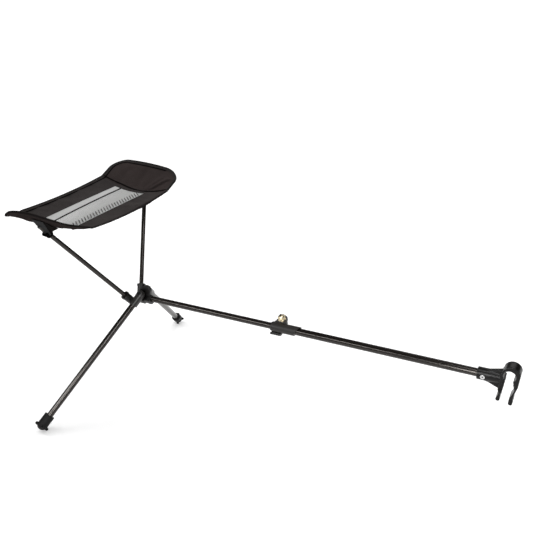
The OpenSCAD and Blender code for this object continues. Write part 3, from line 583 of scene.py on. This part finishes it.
# End flaps, with rounded corners and soft creases
flap = dict(columns=56, straightRows=18, cornerRows=22, inset=0.002, ripple=0.0005, calmSeam=(0, 0.012),
            calmEdge=(0.003, 0.014))
flapCreases = (  # from (a, past the seam) to (a, past the seam), height and half width
    dict(start=(0.040, 0.007), stop=(0.076, 0.047), height=0.0026, halfWidth=0.0032),
    dict(start=(0.048, 0.008), stop=(0.080, 0.040), height=-0.0014, halfWidth=0.0034),
    dict(start=(0.030, 0.008), stop=(0.055, 0.046), height=0.0018, halfWidth=0.0038),
    dict(start=(-0.050, 0.010), stop=(-0.044, 0.050), height=-0.0012, halfWidth=0.0080),
    dict(start=(0.000, 0.006), stop=(0.010, 0.060), height=-0.0012, halfWidth=0.0080))


def makeFlap(side, name, replacing):
    rows = flap["straightRows"] + flap["cornerRows"]
    radius = sling["corner"] - flap["inset"]
    halfWidth = sling["halfWidth"] - flap["inset"]
    straight = sling["flapLength"] - sling["corner"]

    def flat(s, t):
        row = t * rows
        if row <= flap["straightRows"]:
            past, half = straight * row / flap["straightRows"], halfWidth
        else:
            turn = math.pi / 2 * (row - flap["straightRows"]) / flap["cornerRows"]
            past, half = straight + radius * math.sin(turn), halfWidth - radius * (1 - math.cos(turn))
        return (2 * s - 1) * half * side, (sling["halfSeam"] + past) * side

    def place(s, t):
        a, l = flat(s, t)
        past = abs(l) - sling["halfSeam"]
        calm = ramp(past, *flap["calmSeam"]) * ramp(sling["halfWidth"] - abs(a), *flap["calmEdge"])
        return onSling(a, l, calm * (foldHeight(a, past, flapCreases) + clothRipple(l, a, flap["ripple"])))

    piece = gridPiece(name, flap["columns"], rows, place, flat)
    useModifier(piece, "SOLIDIFY", thickness=sling["thickness"], offset=0)
    finishPiece(piece, cloth["flapCloth"], replacing=replacing)


makeFlap(-1, "leftFlap", ("left_flap",))
makeFlap(1, "rightFlap", ("right_flap",))
print("flaps sewn")


# Netting: a diamond net with real holes, hemmed under the bed
net = dict(cell=0.0031, strand=0.0008, drop=-0.0012, overlap=0.004)


def makeNet():
    halfWidth = netting["halfWidth"] + net["overlap"]
    halfLong = netting["halfLength"] + net["overlap"]
    columns = round(2 * halfWidth / net["cell"])
    rows = round(2 * halfLong / net["cell"])

    def flat(s, t):
        return netting["shift"] + (2 * s - 1) * halfWidth, (2 * t - 1) * halfLong

    def place(s, t):
        return onSling(*flat(s, t), net["drop"])

    piece = gridPiece("netPanel", columns, rows, place, flat)
    corners = len(piece.data.vertices)
    pick(piece)
    bpy.ops.object.mode_set(mode="EDIT")
    bpy.ops.mesh.select_mode(type="EDGE")
    bpy.ops.mesh.select_all(action="SELECT")
    bpy.ops.mesh.poke()
    bpy.ops.mesh.select_all(action="DESELECT")
    bpy.ops.object.mode_set(mode="OBJECT")
    uses = {}
    for face in piece.data.polygons:
        for key in face.edge_keys:
            uses[key] = uses.get(key, 0) + 1
    for edge in piece.data.edges:
        edge.select = max(edge.vertices) < corners and uses[edge.key] == 2
    bpy.ops.object.mode_set(mode="EDIT")
    bpy.ops.mesh.dissolve_edges(use_verts=False)
    bpy.ops.object.mode_set(mode="OBJECT")
    useModifier(piece, "WIREFRAME", thickness=net["strand"], use_even_offset=False, use_boundary=True)
    return finishPiece(piece, cloth["netThread"], replacing=("mesh_panel",), angle=80)


netPanel = makeNet()
print("netting made:", len(netPanel.data.polygons), "faces")


# Strips sewn flat on the sling: a run of cloth between two lines of the flat pattern
def stripPiece(name, corners, columns, rows, lift, thickness, material, rounding=0.3):
    (a0, l0), (a1, l1), (a2, l2), (a3, l3) = corners  # start inner, start outer, stop inner, stop outer

    def flat(s, t):
        inner = (a0 + (a2 - a0) * t, l0 + (l2 - l0) * t)
        outer = (a1 + (a3 - a1) * t, l1 + (l3 - l1) * t)
        return inner[0] + (outer[0] - inner[0]) * s, inner[1] + (outer[1] - inner[1]) * s

    piece = gridPiece(name, columns, rows, lambda s, t: onSling(*flat(s, t), lift), flat)
    useModifier(piece, "SOLIDIFY", thickness=thickness, offset=0)
    useModifier(piece, "BEVEL", width=thickness * rounding, segments=2, limit_method="ANGLE")
    return finishPiece(piece, material)


netHem = dict(leftWidth=0.0235, rightWidth=0.017, under=0.003, halfLength=0.1225, lift=-0.0002,
              thickness=0.0010, columns=8, rows=90)
hemCorners = ((netBack - netHem["under"], -netHem["halfLength"]),
              (netBack + netHem["leftWidth"], -netHem["halfLength"]),
              (netBack - netHem["under"], netHem["halfLength"]),
              (netBack + netHem["rightWidth"], netHem["halfLength"]))
stripPiece("netHemStrip", hemCorners, netHem["columns"], netHem["rows"], netHem["lift"], netHem["thickness"],
           cloth["netHemCloth"])


# Threads and piping: a round run of thread along points of the flat pattern
def threadPiece(name, points, radius, lift, material, sides=8, flatness=1.0, endTaper=0.35):
    lengths = [0.0]
    for (a0, l0), (a1, l1) in zip(points, points[1:]):
        lengths.append(lengths[-1] + math.hypot(a1 - a0, l1 - l0))
    places = [onSling(a, l, lift) for a, l in points]
    normals = [slingNormal(a, l) for a, l in points]
    last = len(points) - 1

    def flat(s, t):
        return s * 2 * math.pi * radius, lengths[round(t * last)]

    def place(s, t):
        index = round(t * last)
        run = (places[min(index + 1, last)] - places[max(index - 1, 0)]).normalized()
        sideways = run.cross(normals[index]).normalized()
        turn = 2 * math.pi * s
        taper = radius * (endTaper if index in (0, last) else 1)
        up = normals[index] * taper * flatness * math.sin(turn)
        return places[index] + sideways * taper * math.cos(turn) + up

    piece = gridPiece(name, sides, last, place, flat)
    closeMesh(piece, capped=True)
    return finishPiece(piece, material)


def lineOf(start, stop, count):
    return [(start[0] + (stop[0] - start[0]) * i / count, start[1] + (stop[1] - start[1]) * i / count)
            for i in range(count + 1)]


netCord = dict(radius=0.0014, lift=0.0004, steps=80)
threadPiece("netCord", lineOf(hemCorners[1], hemCorners[3], netCord["steps"]), netCord["radius"],
            netCord["lift"], cloth["darkThread"])

# The seam's line rises into the flap on both sides of its lowest point
seamPiping = dict(radius=0.0018, lift=0.0009, inset=0.001, lowest=0.025, slope=0.12, softness=0.012,
                  most=0.0065, reach=0.0945, steps=70)


def seamSpot(a, side):
    away = math.hypot(a - seamPiping["lowest"], seamPiping["softness"]) - seamPiping["softness"]
    rise = min(seamPiping["slope"] * away, seamPiping["most"])
    return a, side * (sling["halfSeam"] - seamPiping["inset"] + rise)


for side, name in ((-1, "leftSeamPiping"), (1, "rightSeamPiping")):
    spots = [seamSpot(seamPiping["reach"] * (2 * i / seamPiping["steps"] - 1), side)
             for i in range(seamPiping["steps"] + 1)]
    threadPiece(name, spots, seamPiping["radius"], seamPiping["lift"], cloth["darkThread"],
                flatness=0.7)


# Slanted gathering stitches along the front of the netting
gathering = dict(count=25, reach=0.0205, slant=0.018, radius=0.0012, edge=0.0050, lift=-0.0003, endGap=0.004,
                 steps=6)


def joinPieces(pieces, name):
    deselectAll()
    for piece in pieces:
        piece.select_set(True)
    bpy.context.view_layer.objects.active = pieces[0]
    bpy.ops.object.join()
    pieces[0].name = name
    return pieces[0]


def gatherStitch(i):
    l = (2 * (i + 0.5) / gathering["count"] - 1) * (netting["halfLength"] - gathering["endGap"])
    start = (netFront - gathering["edge"], max(l - gathering["slant"] / 2, -netting["halfLength"]))
    stop = (start[0] - gathering["reach"], min(l + gathering["slant"] / 2, netting["halfLength"]))
    return threadPiece("gather%d" % i, lineOf(start, stop, gathering["steps"]), gathering["radius"],
                       gathering["lift"], cloth["gatherThread"], sides=6)


joinPieces([gatherStitch(i) for i in range(gathering["count"])], "gatherStitches")
print("net trim sewn")


# Edge of the sling: a folded tape round a rounded rectangle in the flat pattern
def outlineAt(distance, inset=0.0):
    radius = sling["corner"]
    longSide = 2 * (halfLength - radius)
    shortSide = 2 * (sling["halfWidth"] - radius)
    bend = radius * math.pi / 2
    runs = ((longSide, (sling["halfWidth"], -(halfLength - radius)), 0),
            (shortSide, (sling["halfWidth"] - radius, halfLength), 1),
            (longSide, (-sling["halfWidth"], halfLength - radius), 2),
            (shortSide, (-(sling["halfWidth"] - radius), -halfLength), 3))
    distance %= 2 * (longSide + shortSide) + 4 * bend
    for length, (a, l), quarter in runs:
        heading = math.pi / 2 * (quarter + 1)
        outward = math.pi / 2 * quarter
        if distance <= length:
            spot = Vector((a + math.cos(heading) * distance, l + math.sin(heading) * distance))
            return spot - Vector((math.cos(outward), math.sin(outward))) * inset
        distance -= length
        if distance <= bend:
            end = Vector((a + math.cos(heading) * length, l + math.sin(heading) * length))
            centre = end - Vector((math.cos(outward), math.sin(outward))) * radius
            turn = outward + distance / radius
            return centre + Vector((math.cos(turn), math.sin(turn))) * (radius - inset)
        distance -= bend
    return spot


outlineLength = 4 * (halfLength + sling["halfWidth"] - 2 * sling["corner"]) + 2 * math.pi * sling["corner"]
edgeTape = dict(width=0.0058, thickness=0.0034, stations=420, sides=14, boxiness=0.55)
tapeLap = dict(start=0.195, length=0.044, grow=1.5, stations=24)


def tapeRun(name, start, length, stations, grow=1.0):
    def shaped(value):
        return math.copysign(abs(value) ** edgeTape["boxiness"], value)

    def flat(s, t):
        return start + t * length, s * 2 * (edgeTape["width"] + edgeTape["thickness"])

    def place(s, t):
        outer = outlineAt(start + t * length)
        inner = outlineAt(start + t * length, edgeTape["width"])
        outerAt, innerAt = slingPoint(*outer), slingPoint(*inner)
        normal = slingNormal(*((outer + inner) / 2))
        turn = 2 * math.pi * s
        across = (outerAt - innerAt) / 2 * (1 + (grow - 1) / 3)
        lift = edgeTape["thickness"] / 2 * grow * shaped(math.sin(turn))
        return (outerAt + innerAt) / 2 + across * shaped(math.cos(turn)) + normal * lift

    piece = gridPiece(name, edgeTape["sides"], stations, place, flat)
    closeMesh(piece, capped=True)
    return piece


loop = tapeRun("edgeTape", 0, outlineLength, edgeTape["stations"])
finishPiece(loop, cloth["edgeTapeCloth"], replacing=("edge_binding",), angle=60)
lap = tapeRun("tapeLap", tapeLap["start"], tapeLap["length"], tapeLap["stations"], tapeLap["grow"])
finishPiece(lap, cloth["edgeTapeCloth"], angle=60)
print("edge tape sewn:", round(outlineLength, 3), "m")


# Hem: a second layer inside the tape
hem = dict(start=0.0045, stop=0.0085, lift=0.0011, thickness=0.0008, columns=4, stations=300)


def makeHem():
    def flat(s, t):
        return t * outlineLength, hem["start"] + (hem["stop"] - hem["start"]) * s

    def place(s, t):
        return onSling(*outlineAt(t * outlineLength, flat(s, t)[1]), hem["lift"])

    piece = gridPiece("hemBand", hem["columns"], hem["stations"], place, flat)
    closeMesh(piece)
    useModifier(piece, "SOLIDIFY", thickness=hem["thickness"], offset=0)
    return finishPiece(piece, cloth["hemCloth"])


makeHem()


# Painted shadow: a dark thread inside the hem stands for the shade along the hem's inner edge; there is none
# along the front, where the cloth is turned over once
hemShadowLine = dict(inset=0.0104, radius=0.0014, lift=0.0010, start=0.41, stop=1.15, steps=220)
hemStep = (hemShadowLine["stop"] - hemShadowLine["start"]) / hemShadowLine["steps"]
hemShadowPoints = [tuple(outlineAt(hemShadowLine["start"] + hemStep * i, hemShadowLine["inset"]))
             for i in range(hemShadowLine["steps"] + 1)]
threadPiece("hemShadowLine", hemShadowPoints, hemShadowLine["radius"], hemShadowLine["lift"], cloth["darkThread"], sides=6,
            flatness=0.6)

# Lockstitches along the tape, the window and the seams
lockstitch = dict(length=0.0032, pitch=0.0045, radius=0.00032, tapeInset=0.0046, seamGap=0.004,
                  seamReach=0.085, lift=0.0012)


def stitchMesh():
    deselectAll()
    bpy.ops.mesh.primitive_uv_sphere_add(segments=6, ring_count=4, radius=lockstitch["radius"])
    piece = bpy.context.object
    bpy.ops.object.mode_set(mode="EDIT")
    bpy.ops.mesh.select_all(action="SELECT")
    bpy.ops.transform.resize(value=(lockstitch["length"] / 2 / lockstitch["radius"], 1, 1))
    bpy.ops.object.mode_set(mode="OBJECT")
    return piece


def stitchRow(name, spots, lift, material):
    first = stitchMesh()
    copies = []
    for (a0, l0), (a1, l1) in spots:
        run = onSling(a1, l1, lift) - onSling(a0, l0, lift)
        normal = slingNormal((a0 + a1) / 2, (l0 + l1) / 2)
        run.normalize()
        sideways = normal.cross(run).normalized()
        up = run.cross(sideways)
        turn = Matrix((run, sideways, up)).transposed().to_4x4()
        copy = first.copy()
        copy.data = first.data.copy()
        scene.collection.objects.link(copy)
        copy.data.transform(Matrix.Translation(onSling((a0 + a1) / 2, (l0 + l1) / 2, lift)) @ turn)
        copies.append(copy)
    bpy.data.objects.remove(first)
    return finishPiece(joinPieces(copies, name), material)


def spotsRound(inset):
    count = int(outlineLength / lockstitch["pitch"])
    step = outlineLength / count
    return [(outlineAt(i * step, inset), outlineAt(i * step + lockstitch["length"], inset))
            for i in range(count)]


def spotsAlong(start, stop):
    line = Vector(stop) - Vector(start)
    count = int(line.length / lockstitch["pitch"])
    step = line / count
    share = lockstitch["length"] / step.length
    return [(Vector(start) + step * i, Vector(start) + step * (i + share)) for i in range(count)]


stitchRow("tapeStitches", spotsRound(lockstitch["tapeInset"]), edgeTape["thickness"] / 2, cloth["greyThread"])
gap = lockstitch["seamGap"]
windowSpots = []
for l in (-netting["halfLength"] - gap, netting["halfLength"] + gap):
    windowSpots += spotsAlong((netBack, l), (netFront, l))
for a in (netBack - gap, netFront + gap):
    windowSpots += spotsAlong((a, -netting["halfLength"]), (a, netting["halfLength"]))
for l in (-sling["halfSeam"] - gap, sling["halfSeam"] + gap):
    windowSpots += spotsAlong((-lockstitch["seamReach"], l), (lockstitch["seamReach"], l))
stitchRow("windowStitches", windowSpots, lockstitch["lift"], cloth["greyThread"])
print("stitches sewn")


# Pockets under the flaps, drawn in round the pole ends. Each is sewn in the dark tape cloth, which also
# stands for its shaded side, and carries a grey patch on one side that is painted light, the pocket's lit
# side.
pocket = dict(mouthRadius=0.0072, mouthBack=0.024, backWidth=0.015, frontWidth=0.027, startPast=0.016,
              stopPast=0.066, boxiness=0.6, frontCurve=1.9, backCurve=1.1, around=48, rows=16, lift=-0.0026,
              pleat=0.0011, pleats=6, thickness=0.0010, cut=(0.145, 0.032), cutArea=0.0030,
              weave=(0.12, 0.06), step=0.01)
pocketLitPatch = dict(start=0.16, stop=0.37, low=0.22, high=0.99, lift=0.0008, columns=16, rows=12,
                    thickness=0.0008, weave=(0.02, 0.02))
mouthBand = dict(radius=0.0078, length=0.014, below=0.2, swell=0.0030, swellRun=(0.1, 1.1), thickness=0.0016,
                 around=40, rows=8, weave=(0.054, 0.019), rounding=0.0004)


def ringPoint(turn, boxiness):
    return [math.copysign(abs(value) ** boxiness, value) for value in (math.cos(turn), math.sin(turn))]


def makePocket(side, prefix, name):
    tip = middle(prefix + "pole_tip")
    axis = (tip - middle(prefix + "pole")).normalized()
    mouth = tip - axis * pocket["mouthBack"]
    midPast = (pocket["startPast"] + pocket["stopPast"]) / 2
    reach = (pocket["stopPast"] - pocket["startPast"]) / 2
    seatA = tip.x - hubAt.x + sling["back"]
    seatL = side * (sling["halfSeam"] + midPast)
    seat = onSling(seatA, seatL, pocket["lift"])
    outward = onSling(seatA, seatL + side * pocket["step"]) - onSling(seatA, seatL)
    outward = (outward - axis * outward.dot(axis)).normalized()
    sideways = outward.cross(axis) * side
    sideways = sideways if sideways.x > 0 else -sideways

    def flat(s, t):
        return s * pocket["weave"][0], t * pocket["weave"][1]

    def place(s, t):
        turn = 2 * math.pi * s
        across, out = math.cos(turn), math.sin(turn)
        low = mouth + (sideways * across + outward * out) * pocket["mouthRadius"]
        wide, long = ringPoint(turn, pocket["boxiness"])
        past = sling["halfSeam"] + midPast + reach * long
        reachA = pocket["frontWidth"] if wide > 0 else pocket["backWidth"]
        high = onSling(seatA + reachA * wide, side * past, pocket["lift"])
        share = t ** (pocket["frontCurve"] if wide > 0 else pocket["backCurve"])
        spot = low + (high - low) * share
        pull = math.sin(math.pi * t) * pocket["pleat"] * math.cos(turn * pocket["pleats"])
        centre = mouth + (seat - mouth) * share
        return spot + (spot - centre).normalized() * pull

    piece = gridPiece(name, pocket["around"], pocket["rows"], place, flat)
    closeMesh(piece)
    useModifier(piece, "SOLIDIFY", thickness=pocket["thickness"], offset=-1)
    finishPiece(piece, cloth["edgeTapeCloth"], replacing=(prefix + "pocket",))

    # Grey patch: painted light on the pocket's lit side
    def litPatchPlace(s, t):
        share = pocketLitPatch["low"] + (pocketLitPatch["high"] - pocketLitPatch["low"]) * t
        turn = pocketLitPatch["start"] + (pocketLitPatch["stop"] - pocketLitPatch["start"]) * s
        spot = place(turn, share)
        return spot + (spot - place(turn + 0.5, share)).normalized() * pocketLitPatch["lift"]

    def litPatchFlat(s, t):
        return s * pocketLitPatch["weave"][0], t * pocketLitPatch["weave"][1]

    facing = gridPiece(name + "Facing", pocketLitPatch["columns"], pocketLitPatch["rows"], litPatchPlace,
                       litPatchFlat)
    useModifier(facing, "SOLIDIFY", thickness=pocketLitPatch["thickness"], offset=0)
    finishPiece(facing, cloth["pocketLitCloth"])

    def bandPlace(s, t):
        turn = 2 * math.pi * s
        along = mouth + axis * mouthBand["length"] * (t - mouthBand["below"])
        swell = mouthBand["radius"] + mouthBand["swell"] * ramp(t, *mouthBand["swellRun"])
        return along + (sideways * math.cos(turn) + outward * math.sin(turn)) * swell

    def bandFlat(s, t):
        return s * mouthBand["weave"][0], t * mouthBand["weave"][1]

    band = gridPiece(name + "Band", mouthBand["around"], mouthBand["rows"], bandPlace, bandFlat)
    closeMesh(band)
    useModifier(band, "SOLIDIFY", thickness=mouthBand["thickness"], offset=-1)
    useModifier(band, "BEVEL", width=mouthBand["rounding"], segments=2, limit_method="ANGLE")
    finishPiece(band, cloth["darkThread"])


makePocket(-1, "left_", "leftPocket")
makePocket(1, "right_", "rightPocket")
print("pockets sewn")


# Painted shade: a dark plug fills the bore of the clip's hollow rivet, where there is only shade
rivetHoleShade = dict(radius=0.0013, depth=0.0016, proud=0.00015, sides=16, rounding=0.0002)


def makeRivetHoleShade():
    low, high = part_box("clip_rivet")
    centre = (low + high) / 2
    deselectAll()
    bpy.ops.mesh.primitive_cylinder_add(
        vertices=rivetHoleShade["sides"], radius=rivetHoleShade["radius"], depth=rivetHoleShade["depth"],
        location=(centre.x, low.y - rivetHoleShade["proud"] + rivetHoleShade["depth"] / 2, centre.z),
        rotation=(math.pi / 2, 0, 0))
    piece = bpy.context.object
    piece.name = "rivetHoleShade"
    bpy.ops.object.transform_apply(location=True, rotation=True, scale=True)
    useModifier(piece, "BEVEL", width=rivetHoleShade["rounding"], segments=2, limit_method="ANGLE")
    finishPiece(piece, hard["blackSteel"], body="outer_arm")


makeRivetHoleShade()
print("rivet core set")


# Studio: pale floor, soft lamps, white surroundings
studio = dict(floorSize=60.0, floorDrop=0.0003, floorColour=(0.86, 0.86, 0.86), floorRough=0.9,
              floorSpecular=0.1, floorGlow=0.88, lampShare=0.50, lampAt=(-0.7, 0.5, 0.0), lampHeight=2.4,
              ambient=0.2, cardColour=(0.01, 0.01, 0.01))


def whiteRays(tree):
    rays = addNode(tree, "LightPath")
    seen = calc(tree, "MAXIMUM", rays.outputs["Is Camera Ray"], rays.outputs["Is Glossy Ray"])
    return calc(tree, "MAXIMUM", seen, rays.outputs["Is Transmission Ray"])


def makeFloor():
    deselectAll()
    bpy.ops.mesh.primitive_plane_add(size=studio["floorSize"], location=(0, 0, -studio["floorDrop"]))
    floor = bpy.context.object
    floor.name = "floor"
    material, tree, shader = newMaterial("paleFloor")
    shader.inputs["Base Color"].default_value = solid(studio["floorColour"])
    shader.inputs["Roughness"].default_value = studio["floorRough"]
    shader.inputs["Specular IOR Level"].default_value = studio["floorSpecular"]
    shader.inputs["Emission Color"].default_value = (1, 1, 1, 1)
    place = addNode(tree, "TexCoord").outputs["Object"]
    away = addNode(tree, "VectorMath", operation="DISTANCE")
    feed(tree, away.inputs[0], place)
    feed(tree, away.inputs[1], studio["lampAt"])
    spread = calc(tree, "POWER", calc(tree, "DIVIDE", away.outputs["Value"], studio["lampHeight"]), 2.0)
    lit = calc(tree, "DIVIDE", studio["lampShare"], calc(tree, "POWER", calc(tree, "ADD", spread, 1.0), 2.0))
    glow = calc(tree, "SUBTRACT", studio["floorGlow"], lit)  # less where the lamp already lights the floor
    feed(tree, shader.inputs["Emission Strength"], calc(tree, "MULTIPLY", whiteRays(tree), glow))
    floor.data.materials.append(material)


def makeWorld():
    world = scene.world or bpy.data.worlds.new("studioWorld")
    scene.world = world
    world.use_nodes = True
    tree = world.node_tree
    sky = tree.nodes["Background"]
    sky.inputs["Color"].default_value = (1, 1, 1, 1)
    strength = calc(tree, "MULTIPLY_ADD", whiteRays(tree), 1 - studio["ambient"], studio["ambient"])
    feed(tree, sky.inputs["Strength"], strength)


# Dark cards round the stage, seen only in reflections, as black flags in a studio
darkCards = (
    dict(name="frontCard", place=(0, -2.4, 0.75), turn=(90, 0, 0), size=(7.0, 1.5)),
    dict(name="backCard", place=(0, 3.0, 1.4), turn=(90, 0, 0), size=(8.0, 2.8)),
    dict(name="leftCard", place=(-3.4, 0, 1.4), turn=(90, 0, 90), size=(7.0, 2.8)),
    dict(name="rightCard", place=(3.4, 0, 1.4), turn=(90, 0, 90), size=(7.0, 2.8)),
    dict(name="topCard", place=(0, 0, 2.9), turn=(0, 0, 0), size=(7.0, 7.0)))


def makeCards():
    for spec in darkCards:
        material, _, shader = newMaterial(spec["name"])
        shader.inputs["Base Color"].default_value = solid(studio["cardColour"])
        shader.inputs["Roughness"].default_value = 1.0
        shader.inputs["Specular IOR Level"].default_value = 0.0
        deselectAll()
        turn = [math.radians(angle) for angle in spec["turn"]]
        bpy.ops.mesh.primitive_plane_add(size=1, location=spec["place"], rotation=turn)
        card = bpy.context.object
        card.name = spec["name"]
        card.scale = (*spec["size"], 1)
        card.data.materials.append(material)
        card.visible_camera = False
        card.visible_diffuse = False
        card.visible_shadow = False


lamps = (
    dict(name="overLamp", place=(-0.7, 0.5, 2.4), aim=(-0.1, 0.0, 0.2), size=(2.2, 1.8), power=31),
    dict(name="sideLamp", place=(-2.0, -0.1, 1.2), aim=(-0.3, 0.0, 0.3), size=(0.6, 1.2), power=15),
    dict(name="backLamp", place=(0.3, 2.0, 1.4), aim=(0.0, 0.0, 0.3), size=(1.6, 0.5), power=12))
strips = (  # these only show as reflections
    dict(name="frontStrip", place=(-0.65, -1.24, 1.02), aim=(-0.2, 0.0, 0.25), size=(1.1, 0.2), power=9),
    dict(name="poleStrip", place=(0.44, -0.18, 1.32), aim=(-0.39, 0.11, 0.36), size=(0.35, 0.35), power=4),
    dict(name="legStrip", place=(0.36, -1.07, 0.66), aim=(-0.37, -0.14, 0.12), size=(0.16, 0.8), power=9,
         roll=-42),
    dict(name="backStrip", place=(0.34, 1.7, 1.33), aim=(0.5, 0.0, 0.26), size=(1.4, 0.6), power=4))


def addLamp(spec, soft):
    place = Vector(spec["place"])
    bpy.ops.object.light_add(type="AREA", location=place)
    lamp = bpy.context.object
    lamp.name = spec["name"]
    facing = (Vector(spec["aim"]) - place).to_track_quat("-Z", "Y").to_matrix()
    roll = Matrix.Rotation(math.radians(spec.get("roll", 0)), 3, "Z")
    lamp.rotation_euler = (facing @ roll).to_euler()
    lamp.data.shape = "RECTANGLE"
    lamp.data.size, lamp.data.size_y = spec["size"]
    lamp.data.energy = spec["power"]
    lamp.visible_diffuse = soft
    lamp.visible_glossy = not soft


makeCards()
makeFloor()
makeWorld()
for spec in lamps:
    addLamp(spec, True)
for spec in strips:
    addLamp(spec, False)
print("studio lit")

bpy.context.view_layer.update()
